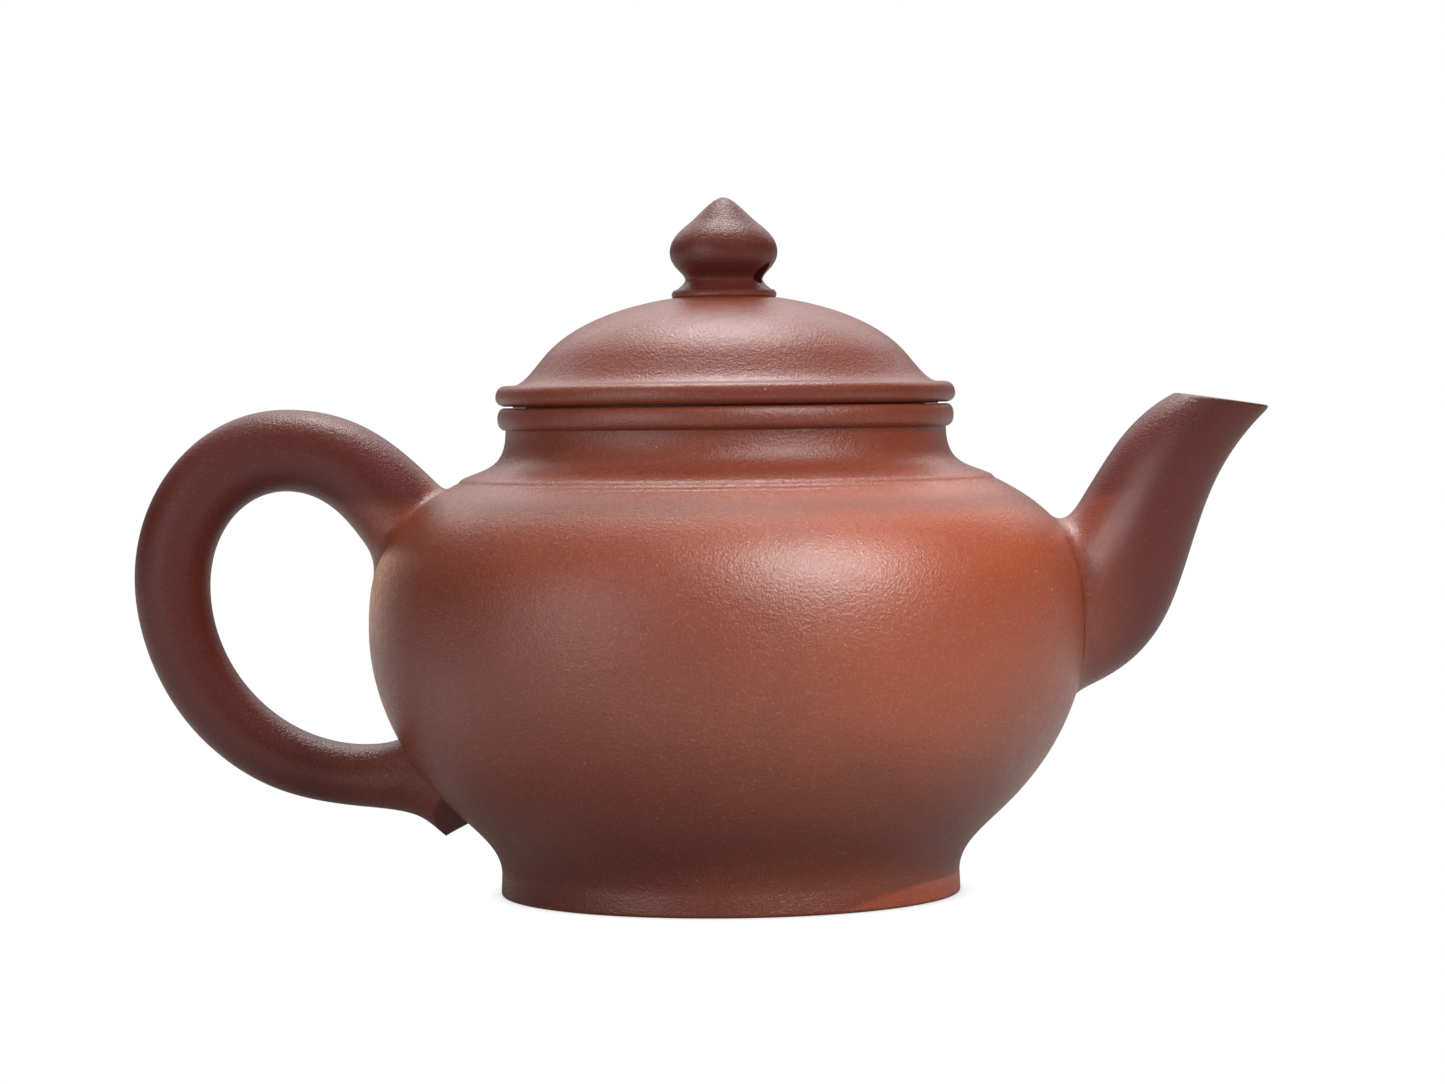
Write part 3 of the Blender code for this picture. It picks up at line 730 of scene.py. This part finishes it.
def make_strainer():
    """A pierced ball cap that bulges into the pot behind the spout."""
    bulge, wall, hole = STRAINER_OUT - lowest("spout_strainer").x, 1.5 * MM, 1.0 * MM
    ball = (STRAINER_RADIUS**2 + bulge**2) / (2 * bulge)
    middle = bulge - ball

    def arc(radius):
        angles = np.linspace(0, math.acos(-middle / radius), 24)
        return np.column_stack((radius * np.sin(angles), middle + radius * np.cos(angles)))

    outer, inner = arc(ball), arc(ball - wall)[::-1]
    mesh = turned(
        "spout_strainer_fired",
        ((outer, INSIDE), ([outer[-1], inner[0]], INSIDE), (inner, INSIDE)),
        SMALL_STEPS,
    )
    centre = Vector((0, 0, middle))
    holes = []
    for count, tilt in ((1, 0), (6, 27), (12, 54)):
        for turn in range(count):
            direction = Vector((0, 0, 1))
            direction.rotate(Matrix.Rotation(math.radians(tilt), 3, "X"))
            direction.rotate(Matrix.Rotation(math.tau * turn / count, 3, "Z"))
            start = centre + direction * (ball - wall - 0.8 * MM)
            end = centre + direction * (ball + 0.8 * MM)
            holes.append((start, end, hole * 0.85, hole * 1.15))
    mesh = cut(mesh, rods_mesh("strainer_holes", holes, 24))
    facing_in = Matrix.Rotation(math.radians(-90), 4, "Y")
    mesh.transform(Matrix.Translation((STRAINER_OUT, 0, STRAINER_HEIGHT)) @ facing_in)
    piece("spout_strainer", "pot", mesh, OUTER_AND_INNER, sharp_angle=40)


# ---------------------------------------------------------------- limbs that grow from the belly


def crossing(depth):
    """Where along a column of points its depth goes above zero for good, as a broken index."""
    index = np.flatnonzero(depth < 0)[-1]
    return index + depth[index] / (depth[index] - depth[index + 1])


def ovals(first, second, half_width, columns):
    """Points [row, column] of oval rings hung between two edges in the middle plane."""
    angles = np.arange(columns) * math.tau / columns
    centre, reach = (first + second) / 2, (first - second) / 2
    cosine, sine = np.cos(angles), np.sin(angles)
    x = centre[:, :1] + reach[:, :1] * cosine
    z = centre[:, 1:] + reach[:, 1:] * cosine
    y = -half_width[:, None] * sine
    return np.stack((x, y, z), axis=-1)


class Limb:
    """The columns of a limb's surface, as distances travelled from inside the belly."""

    def __init__(self, surface):
        self.columns = [surface[:, index] for index in range(surface.shape[1])]
        self.travels = [travel_along(column) for column in self.columns]

    def where(self, depth_of):
        """Each column's travelled distance at its crossing of a surface."""
        marks = []
        for column, travel in zip(self.columns, self.travels):
            marks.append(np.interp(crossing(depth_of(column)), np.arange(len(travel)), travel))
        return np.array(marks)

    def points(self, marks):
        rows = zip(self.columns, self.travels, marks)
        return np.array([points_at(column, travel, [mark])[0] for column, travel, mark in rows])

    def rows(self, starts, ends, count, ease=1.0):
        """Rows of points between two marks on each column."""
        shares = np.linspace(0, 1, count) ** ease
        return [self.points(starts + share * (ends - starts)) for share in shares]

    def directions(self, marks):
        step = 0.05 * MM
        along = self.points(marks + step) - self.points(marks - step)
        return along / np.linalg.norm(along, axis=1)[:, None]


def soft_rows(start, tip, end, count):
    """Rows that turn a soft corner, from start towards the tip and from the tip to end."""
    shares = np.linspace(0, 1, count)
    return [(1 - s) ** 2 * start + 2 * s * (1 - s) * tip + s**2 * end for s in shares]


def skirt(limb, root, up_limb, over_pot, count=14):
    """Rows of a soft fillet from the belly's surface up to a limb, and the limb's marks there."""
    base = limb.points(root)
    facing = pot_normals(base)
    rim = np.roll(base, -1, axis=0) - np.roll(base, 1, axis=0)
    away = np.cross(rim, facing)
    away /= np.linalg.norm(away, axis=1)[:, None]
    if np.sum(away * (base - base.mean(axis=0))) < 0:
        away = -away
    foot = on_pot(base + away * over_pot[:, None])
    foot_facing = pot_normals(foot)
    top_marks = root + up_limb
    top = limb.points(top_marks)
    down = -limb.directions(top_marks)
    height = np.sum((top - foot) * foot_facing, axis=1)
    fall = -np.sum(down * foot_facing, axis=1)
    knee = top + down * (height / np.maximum(fall, 0.15))[:, None]
    rows = soft_rows(foot, knee, top, count)
    sunk = on_pot(foot + away * SINK_REACH) - foot_facing * SINK_DEPTH
    return [sunk] + rows, top_marks, base


def spout_edges(count):
    """The throat and the breast of the spout, from inside the belly to past its mouth."""
    knee, breast_bend = at(54.74, 62.27), at(62.5, 41.0)
    throat = chain(
        [at(43.0, 44.2)],
        curve(at(47.0, 50.3), (1.79, 2.75), (-1.81, -2.35), knee),
        curve(knee, (5.1, 6.7), (-0.7, -0.4), at(66.0, 70.3)),
    )
    breast = chain(
        [at(39.0, 24.2)],
        curve(at(46.0, 26.6), (7.8, 2.7), (-3.4, -8.8), breast_bend),
        curve(breast_bend, (4.2, 11.0), (-12.1, -9.7), at(79.0, 69.6)),
    )
    return evenly(throat, count), evenly(breast, count)


def spout_surface(wall_share, columns, count=400):
    throat, breast = spout_edges(count)
    share = np.linspace(0, 1, count)
    width = (10.3 - 5.6 * share + 0.4 * np.sin(math.pi * share)) * MM
    wall = wall_share * (2.6 - 1.3 * share) * MM
    middle, reach = (throat + breast) / 2, (throat - breast) / 2
    length = np.linalg.norm(reach, axis=1)
    reach *= ((length - wall) / length)[:, None]
    return ovals(middle + reach, middle - reach, width - wall, columns)


def make_spout():
    """A short upright spout, luted over the strainer and cut off nearly level."""
    columns = 144
    outer, bore = Limb(spout_surface(0, columns)), Limb(spout_surface(1, columns))
    heel, beak = Vector((63.1 * MM, 0, 68.93 * MM)), Vector((75.4 * MM, 0, 67.1 * MM))
    mouth_up = Vector((heel.z - beak.z, 0, beak.x - heel.x)).normalized()

    def above_mouth(points):
        return (points - np.array(heel)) @ np.array(mouth_up)

    angles = np.arange(columns) * math.tau / columns
    throat_side = ((1 + np.cos(angles)) / 2) ** 2.2
    breast_side = (1 - np.cos(angles)) / 2
    up_limb = (2.8 + 1.6 * throat_side) * MM
    over_pot = (0.9 + 2.0 * throat_side) * MM
    fillet, start, _ = skirt(outer, outer.where(above_pot), up_limb, over_pot)

    brim = outer.where(above_mouth)
    leg = (0.42 + 1.0 * breast_side**5) * MM
    limb_rows = outer.rows(start, brim - leg, 76)
    brim_points, bore_brim = outer.points(brim), bore.where(above_mouth)
    bore_points = bore.points(bore_brim)
    inward = bore_points - brim_points
    span = np.linalg.norm(inward, axis=1)[:, None]
    inward /= span
    outer_flat = brim_points + inward * np.minimum(leg[:, None], span * 0.45)
    bore_leg = np.minimum(0.3 * MM, span * 0.3)
    bore_flat = bore_points - inward * bore_leg
    outer_lip = soft_rows(limb_rows[-1], brim_points, outer_flat, 8)[1:]
    bore_lip = soft_rows(bore_flat, bore_points, bore.points(bore_brim - bore_leg[:, 0]), 6)
    bore_root = bore.where(above_pot)
    bore_rows = bore.rows(bore_brim - bore_leg[:, 0], bore_root, 48)[1:]
    last = bore_rows[-1] - pot_normals(bore_rows[-1]) * SINK_DEPTH
    rows = fillet + limb_rows[1:] + outer_lip + bore_lip + bore_rows[:-1] + [last]
    mesh = tidy(grid_mesh("spout_fired", rows))
    piece("spout", "pot", mesh, (burnished,), flow_above=0)


def handle_edges(count):
    """Outer and inner edges of the handle, in stretches whose ends lie opposite each other."""
    outer_root, inner_root = at(-39.4, 56.55), at(-48.8, 46.9)
    outer_top, inner_top = (-61.5 * MM, HANDLE_TOP - 0.09 * MM), at(-61.5, 56.66)
    outer_back, inner_back = (HANDLE_REACH, 44.3 * MM), at(-72.22, 43.3)
    outer_bend = at(-72.5, 21.08)
    outer_low, inner_low = at(-50.5, 12.42), at(-50.6, 21.2)
    tip = at(*TAIL_TIP)
    outer = (
        chain([at(-35.4, 52.55)], curve(outer_root, (-6.16, 6.16), (10.66, 0), outer_top)),
        curve(outer_top, (-12.26, 0), (0, 12.59), outer_back),
        chain(
            curve(outer_back, (0, -8.42), (-6.2, 5.71), outer_bend),
            curve(outer_bend, (6.56, -6.03), (-9.16, 0.92), outer_low),
        ),
        chain(curve(outer_low, (7.96, -0.8), (-3.33, 2.66), tip), [tip + at(3.9, -3.1)]),
    )
    inner = (
        chain([at(-45.3, 42.9)], curve(inner_root, (-2.34, 2.67), (7.28, 0), inner_top)),
        curve(inner_top, (-5.79, 0), (0, 7.97), inner_back),
        curve(inner_back, (0, -11.97), (-11.69, 0), inner_low),
        chain(
            curve(inner_low, (2.93, 0), (-1.91, -1.15), at(-44.0, 22.9)),
            curve(at(-44.0, 22.9), (2.2, 1.3), (-1.0, 6.5), at(-30.5, 9.0)),
        ),
    )
    counts = (0.24 * count, 0.24 * count, 0.30 * count, 0.22 * count)
    edges = []
    for side in (outer, inner):
        edges.append(chain(*(evenly(part, round(share)) for part, share in zip(side, counts))))
    return edges


def handle_width(first, second):
    """Half the handle's thickness across, along its middle line."""
    middle = travel_along((first + second) / 2)
    share = middle / middle[-1]
    places = (0.0, 0.06, 0.24, 0.50, 0.76, 0.88, 1.0)
    widths = (7.2, 6.9, 5.75, 5.25, 4.55, 5.2, 5.3)
    width = np.interp(share, places, widths)
    for _ in range(3):
        kernel = np.ones(41) / 41
        padded = np.concatenate((np.full(20, width[0]), width, np.full(20, width[-1])))
        width = np.convolve(padded, kernel, "valid")
    return width * MM


def past_tail(points):
    """Above zero beyond the two faces that meet in the tail's ridge."""
    offset = points[..., (0, 2)] - at(*TAIL_TIP)
    across = offset @ np.array((-TAIL_RIDGE[1], TAIL_RIDGE[0]))
    return np.abs(points[..., 1]) - across


def make_handle():
    """A tapered roll of clay bent into an ear. Its lower end is pinched to a tail."""
    columns, count = 112, 700
    outer, inner = handle_edges(count)
    limb = Limb(ovals(outer, inner, handle_width(outer, inner), columns))
    angles = np.arange(columns) * math.tau / columns
    inner_side = (1 - np.cos(angles)) / 2

    halves = [
        (column[: len(column) // 2], travel) for column, travel in zip(limb.columns, limb.travels)
    ]
    root = np.array(
        [np.interp(crossing(above_pot(column)), np.arange(len(travel)), travel) for column, travel in halves]
    )
    up_limb = (1.5 + 1.6 * inner_side**2) * MM
    over_pot = (0.8 + 0.6 * np.sin(angles) ** 2 + 2.4 * inner_side**3) * MM
    fillet, start, base = skirt(limb, root, up_limb, over_pot)
    tail = []
    for column, travel in zip(limb.columns, limb.travels):
        past = past_tail(column)
        past[: len(past) // 2] = -1.0
        index = np.flatnonzero(past > 0)[0]
        part = index - 1 + past[index - 1] / (past[index - 1] - past[index])
        tail.append(np.interp(part, np.arange(len(travel)), travel))
    tail = np.array(tail)
    limb_rows = limb.rows(start, tail, 240)
    edge = limb_rows[-1]
    along = np.array((TAIL_RIDGE[0], 0, TAIL_RIDGE[1]))
    tip = np.array((TAIL_TIP[0] * MM, 0, TAIL_TIP[1] * MM))
    ridge = tip + np.outer(np.maximum((edge - tip) @ along, 0), along)
    tail_rows = [edge + share * (ridge - edge) for share in np.linspace(0, 1, 12)[1:]]

    deep = fillet[0] - pot_normals(on_pot(fillet[0])) * 1.6 * MM
    inward = base.mean(axis=0) - pot_normals(on_pot(base.mean(axis=0)[None]))[0] * 3 * MM
    rows = [deep] + fillet + limb_rows[1:] + tail_rows
    mesh = tidy(grid_mesh("handle_fired", rows, pole=inward))
    soften(mesh, tip, 5.0 * MM, 3)
    trim = inset(between(POT, FOOT_TOP, SHOULDER_HEIGHT), 0.8 * MM)
    strokes = (
        ([(0, trim[0][1]), trim[0]], OUTSIDE),
        (spaced(trim, 1.0 * MM), OUTSIDE),
        ([trim[-1], (0, trim[-1][1])], OUTSIDE),
    )
    mesh = cut(mesh, turned("handle_trim", strokes, 128))
    piece("handle", "pot", tidy(mesh), (burnished,), flow_above=30 * MM)


def soften(mesh, centre, reach, rounds):
    """Rubs the edges near a point a little round."""
    shape = bmesh.new()
    shape.from_mesh(mesh)
    near = [vert for vert in shape.verts if (vert.co - Vector(centre)).length < reach]
    for _ in range(rounds):
        bmesh.ops.smooth_vert(
            shape, verts=near, factor=0.5, use_axis_x=True, use_axis_y=True, use_axis_z=True
        )
    shape.to_mesh(mesh)
    shape.free()


# ---------------------------------------------------------------- lid


def air_holes():
    """A bore in from the knob's waist to the axis, and one down the axis into the hollow lid."""
    bearing = Vector((math.cos(AIR_BEARING), math.sin(AIR_BEARING), 0))
    mouth = bearing * 5.4 * MM + Vector((0, 0, KNOB_TIP - 11.2 * MM))
    meeting = Vector((0, 0, KNOB_TIP - 12.6 * MM))
    outside = mouth + (mouth - meeting) * 0.8
    top, bottom = meeting + Vector((0, 0, 0.5 * MM)), Vector((0, 0, DOME_TOP - LID_WALL - 2 * MM))
    radius = 1.25 * MM
    side = rods_mesh("side_hole", [(meeting, outside, radius, radius)], 48)
    down = rods_mesh("down_hole", [(bottom, top, radius, radius)], 48)
    return side, down


def make_lid_collar():
    """The ring under the lid that keeps it centred in the mouth."""
    outer, inner, soft = COLLAR_RADIUS, COLLAR_RADIUS - LID_WALL, 0.6 * MM
    top, bottom = COLLAR_TOP, COLLAR_BOTTOM
    strokes = (
        ([(inner, top), (outer, top)], INSIDE),
        (spaced([(outer, top), (outer, bottom + soft)], 1 * MM), INSIDE),
        (corner((outer, bottom + soft), (outer, bottom), (outer - soft, bottom)), INSIDE),
        ([(outer - soft, bottom), (inner + soft, bottom)], INSIDE),
        (corner((inner + soft, bottom), (inner, bottom), (inner, bottom + soft)), INSIDE),
        (spaced([(inner, bottom + soft), (inner, top)], 1 * MM), INSIDE),
    )
    piece("lid_collar", "lid_guide", turned("lid_collar_fired", strokes), OUTER_AND_INNER)


def make_lid_plate():
    """The flat ring that rests on the mouth, with a low step inside the bore."""
    inner, step = COLLAR_RADIUS - LID_WALL, COLLAR_RADIUS + 0.15 * MM
    bottom, step_bottom = MOUTH_TOP + REST_GAP, COLLAR_TOP + REST_GAP
    strokes = (
        ([(inner, PLATE_TOP), (DOME_RADIUS, PLATE_TOP)], INSIDE),
        ([(DOME_RADIUS, PLATE_TOP), (DOME_RADIUS, bottom)], INSIDE),
        (spaced([(DOME_RADIUS, bottom), (step, bottom)], 1 * MM), INSIDE),
        ([(step, bottom), (step, step_bottom)], INSIDE),
        (spaced([(step, step_bottom), (inner, step_bottom)], 1 * MM), INSIDE),
        ([(inner, step_bottom), (inner, PLATE_TOP)], INSIDE),
    )
    piece("lid_plate", "lid", turned("lid_plate_fired", strokes), OUTER_AND_INNER)


def make_lid_rim():
    """The bead round the lid, a match for the mouth's."""
    bottom = LID_SEAT + LID_GAP
    brow = (RIM_RADIUS - 1.5 * MM, RIM_TOP)
    widest = (RIM_RADIUS, LID_SEAT + 1.35 * MM)
    lower = (RIM_RADIUS - 1.3 * MM, bottom)
    bead = chain(curve(brow, (0.95, -0.02), (0, 0.95), widest), curve(widest, (0, -0.75), (0.75, 0.1), lower))
    strokes = (
        (spaced([(DOME_RADIUS, RIM_TOP), brow], 0.3 * MM), OUTSIDE),
        (spaced(bead, FINE), OUTSIDE),
        ([lower, (DOME_RADIUS, bottom)], INSIDE),
        ([(DOME_RADIUS, bottom), (DOME_RADIUS, RIM_TOP)], INSIDE),
    )
    piece("lid_rim", "lid", turned("lid_rim_fired", strokes), OUTER_AND_INNER)


def make_lid_dome():
    outer = dome_outline()
    inner = inset(outer, LID_WALL)
    inner[0, 0] = 0.0
    inner = between(inner, PLATE_TOP, inner[0, 1])[::-1]
    strokes = (
        (spaced(outer), OUTSIDE),
        ([outer[-1], (DOME_RADIUS, PLATE_TOP)], INSIDE),
        ([(DOME_RADIUS, PLATE_TOP), inner[0]], INSIDE),
        (spaced(inner, 0.8 * MM), INSIDE),
    )
    mesh = cut(turned("lid_dome_fired", strokes), *air_holes()[1:])
    piece("lid_dome", "lid", mesh, OUTER_AND_INNER)


def make_knob_seat():
    """The small button between lid and knob: a flange with a cone on it."""
    dome = dome_outline()
    reach = SEAT_RADIUS - 0.15 * MM
    under = dome[dome[:, 0] < reach]
    under = np.concatenate((under, [(reach, np.interp(reach, dome[:, 0], dome[:, 1]))]))
    toe = under[-1]
    waist = (5.38 * MM, KNOB_TIP - 11.75 * MM)
    crease = (6.75 * MM, KNOB_TIP - 13.2 * MM)
    flange = chain(
        curve(crease, (0.22, 0.16), (0, 0.25), (SEAT_RADIUS, toe[1] + 0.45 * MM)),
        curve((SEAT_RADIUS, toe[1] + 0.45 * MM), (0, -0.25), (0.05, 0.1), toe),
    )
    strokes = (
        ([(0, waist[1]), waist], INSIDE),
        (spaced(curve(waist, (0.05, -0.45), (-0.55, 0.3), crease), FINE), OUTSIDE),
        (spaced(flange, 0.08 * MM), OUTSIDE),
        (spaced(under[::-1], 0.8 * MM), INSIDE),
    )
    mesh = cut(turned("knob_seat_fired", strokes, SMALL_STEPS), *air_holes())
    piece("knob_seat", "lid", mesh, OUTER_AND_INNER)


def make_knob():
    """A pear-shaped knob with a drawn-up tip."""
    waist = (5.38 * MM, KNOB_TIP - 11.75 * MM)
    widest = (KNOB_RADIUS, KNOB_TIP - 7.9 * MM)
    shoulder = (4.72 * MM, KNOB_TIP - 3.85 * MM)
    skin = chain(
        curve((0, KNOB_TIP - 0.3 * MM), (1.4, 0), (-1.5, 1.25), shoulder),
        curve(shoulder, (1.1, -0.9), (0, 1.9), widest),
        curve(widest, (0, -2.1), (0.2, 1.1), waist),
    )
    strokes = ((spaced(skin, 0.25 * MM), OUTSIDE), ([waist, (0, waist[1])], INSIDE))
    mesh = cut(turned("knob_fired", strokes, SMALL_STEPS), *air_holes())
    piece("knob", "lid", mesh, OUTER_AND_INNER)


# ---------------------------------------------------------------- studio


def white_floor():
    """A plain white sweep that glows: evenly bright to the camera but for a painted contact shadow at the
    foot, and dimmer in the glow it gives the pot, with a painted shade of the pot round the foot.
    """
    material, build = new_material("white_floor")
    # Painted contact shadow: the floor's glow is dimmed where the pot stands close over it.
    near = build.new("ShaderNodeAmbientOcclusion", {"Distance": 4 * MM}, samples=16)
    shade = build.ramp(near.outputs["AO"], 0.1, 0.9, 0.6, 1.0)
    seen = build.new("ShaderNodeEmission", {"Color": colour(1, 1, 1), "Strength": shade})
    place = build.new("ShaderNodeTexCoord").outputs["Object"]
    # The glow given to the pot is painted darker near the foot, as the pot's shade on the floor.
    away = build.new("ShaderNodeVectorMath", {0: place, 1: FLOOR_SHADE}, operation="DISTANCE")
    level = build.ramp(away.outputs["Value"], FOOT_RADIUS, 95 * MM, *FLOOR_LEVELS)
    given = build.new("ShaderNodeEmission", {"Color": colour(1, 0.96, 0.93), "Strength": level})
    ray = build.new("ShaderNodeLightPath").outputs["Is Camera Ray"]
    both = build.new("ShaderNodeMixShader", {0: ray, 1: given.outputs[0], 2: seen.outputs[0]})
    build.new("ShaderNodeOutputMaterial", {"Surface": both.outputs[0]})
    return material


def make_floor():
    size = 3.0
    corners = [(-size, -size, 0), (size, -size, 0), (size, size, 0), (-size, size, 0)]
    mesh = mesh_from("floor", corners, [(0, 1, 2, 3)])
    mesh.materials.append(white_floor())
    floor = bpy.data.objects.new("floor", mesh)
    bpy.context.scene.collection.objects.link(floor)


def make_world():
    world = bpy.data.worlds.new("studio")
    world.use_nodes = True
    world.node_tree.nodes.clear()
    build = Nodes(world.node_tree)
    seen = build.new("ShaderNodeBackground", {"Color": colour(1, 1, 1), "Strength": 1.0})
    direction = build.new("ShaderNodeTexCoord").outputs["Generated"]
    axes = build.new("ShaderNodeSeparateXYZ", {"Vector": direction})
    top = build.ramp(axes.outputs["Z"], 0.2, 0.9, *WORLD_LEVELS)
    wall = build.ramp(axes.outputs["Y"], 0.45, 0.85, 0.0, BACKDROP_LEVEL)
    level = build.maths("ADD", top, wall)
    given = build.new("ShaderNodeBackground", {"Color": colour(1, 1, 1), "Strength": level})
    ray = build.new("ShaderNodeLightPath").outputs["Is Camera Ray"]
    both = build.new("ShaderNodeMixShader", {0: ray, 1: given.outputs[0], 2: seen.outputs[0]})
    build.new("ShaderNodeOutputWorld", {"Surface": both.outputs[0]})
    bpy.context.scene.world = world


FLOOR_LEVELS = (0.155, 0.58)  # next to the foot and further out
FLOOR_SHADE = (-14 * MM, 0, 0)  # middle of the pot's own shade on the floor
WORLD_LEVELS = (0.03, 0.24)  # at the horizon and overhead
BACKDROP_LEVEL = 0.25
BODY = ("base_disc", "foot_disc", "belly_wall", "shoulder_disc", "spout_strainer")
NECK = ("neck_collar", "mouth_ring")
LID = ("lid_collar", "lid_plate", "lid_rim", "lid_dome", "knob_seat", "knob")
LIMBS = ("spout", "handle")
EVERY = BODY + NECK + LID + LIMBS
KEY = (-55, 38.5, 0.60, 0.34, 0.46)
WINDOW = (-136, 9.5, 0.70, 0.34, 0.38)
FILL = (-150, 30, 0.80, 0.50, 0.50)
OVERHEAD = (90, 73.7, 0.50, 0.26, 0.16)
LIGHTS = (
    # name, (bearing, height in degrees, distance, width, height), watts, colour, shine, pieces lit
    ("key_body", KEY, 4.3, (0.94, 0.99, 1.0), True, BODY),
    ("key_neck", KEY, 2.5, (1.0, 0.98, 0.96), True, NECK),
    ("key_soft", KEY, 2.4, (1.0, 0.98, 0.96), False, NECK + LID + LIMBS),
    ("left_window", WINDOW, 0.85, (1.0, 0.98, 1.0), True, EVERY[:-1]),
    ("left_handle", WINDOW, 0.45, (1.0, 0.98, 1.0), True, ("handle",)),
    ("left_fill", FILL, 0.9, (1.0, 0.97, 0.95), False, NECK + LID + LIMBS),
    ("key_spout", KEY, 0.7, (0.98, 1.0, 1.0), True, ("spout",)),
    ("left_back", (118, 10, 0.80, 0.25, 0.40), 0.35, (1.0, 0.55, 0.32), True, BODY),
    ("overhead", (90, 73.7, 0.70, 0.70, 0.50), 0.95, (1.0, 1.0, 1.0), True, EVERY),
    ("overhead_top", OVERHEAD, 1.3, (1.0, 1.0, 1.0), True, NECK + LID + LIMBS),
    ("overhead_body", OVERHEAD, 0.35, (1.0, 1.0, 1.0), True, BODY),
    ("back", (90, 41.3, 0.70, 0.90, 0.50), 1.6, (1.0, 1.0, 1.0), True, EVERY),
)
BEAM_RADIUS = 8 * MM
WARM = (1.0, 0.92, 0.60)
BEAMS = (
    # name, (bearing, height in degrees, distance), aim, width in degrees, watts, colour, shine, lit
    ("warm_side", (-50, 53, 0.60), (28 * MM, -34 * MM, 42 * MM), 13, 2.5, WARM, False, BODY + NECK),
    ("warm_foot", (-22, 46.5, 0.60), (27 * MM, -16 * MM, 0), 8, 14, WARM, False, ("foot_disc",)),
    ("spout_heel", (-106, 30, 0.60), (47 * MM, -10 * MM, 46 * MM), 5, 5, (1, 1, 1), True, ("spout",)),
)


def toward(bearing, height, distance):
    """A place seen from the middle of the pot."""
    bearing, height = math.radians(bearing), math.radians(height)
    level = Vector((math.cos(bearing), math.sin(bearing), 0)) * math.cos(height)
    return Vector((0, 0, 45 * MM)) + (level + Vector((0, 0, math.sin(height)))) * distance


def hang(name, data, place, target):
    lamp = bpy.data.objects.new(name, data)
    lamp.location = place
    lamp.rotation_euler = (Vector(target) - place).to_track_quat("-Z", "Y").to_euler()
    lamp.visible_camera = False
    bpy.context.scene.collection.objects.link(lamp)
    return lamp


def shine_on(lamp, nodes):
    """Keeps a lamp's light to some of the pieces, as a cut card in front of it does."""
    reached = bpy.data.collections.new(lamp.name + "_reaches")
    for node in nodes:
        reached.objects.link(bpy.data.objects[node + "_fired"])
    lamp.light_linking.receiver_collection = reached


def make_lights():
    for name, (bearing, height, distance, wide, tall), watts, tint, shine, lit in LIGHTS:
        data = bpy.data.lights.new(name, "AREA")
        data.shape = "RECTANGLE"
        data.size, data.size_y = wide, tall
        data.energy = watts
        data.color = tint
        lamp = hang(name, data, toward(bearing, height, distance), (0, 0, 45 * MM))
        lamp.visible_glossy = shine
        shine_on(lamp, lit)
    for name, place, aim, degrees, watts, tint, shine, lit in BEAMS:
        data = bpy.data.lights.new(name, "SPOT")
        data.energy = watts
        data.color = tint
        data.spot_size = math.radians(degrees)
        data.spot_blend = 1.0
        data.shadow_soft_size = BEAM_RADIUS
        lamp = hang(name, data, toward(*place), aim)
        lamp.visible_glossy = shine
        shine_on(lamp, lit)


def make_camera():
    """Level with the lid and a long way back, with a slight tilt to one side."""
    data = bpy.data.cameras.new("camera")
    data.lens = 105
    data.sensor_width = 36
    camera = bpy.data.objects.new("camera", data)
    pitch, roll = math.radians(90 - 1.862), math.radians(-0.677)
    camera.matrix_world = (
        Matrix.Translation((-0.63 * MM, -588 * MM, 68 * MM))
        @ Matrix.Rotation(pitch, 4, "X")
        @ Matrix.Rotation(roll, 4, "Z")
    )
    bpy.context.scene.collection.objects.link(camera)
    bpy.context.scene.camera = camera
    bpy.context.scene.view_settings.view_transform = "Standard"


# ---------------------------------------------------------------- assembly

for make in (
    make_foot_disc,
    make_base_disc,
    make_belly_wall,
    make_shoulder_disc,
    make_neck_collar,
    make_mouth_ring,
    make_strainer,
    make_spout,
    make_handle,
    make_lid_collar,
    make_lid_plate,
    make_lid_rim,
    make_lid_dome,
    make_knob_seat,
    make_knob,
    make_floor,
    make_world,
    make_lights,
    make_camera,
):
    make()
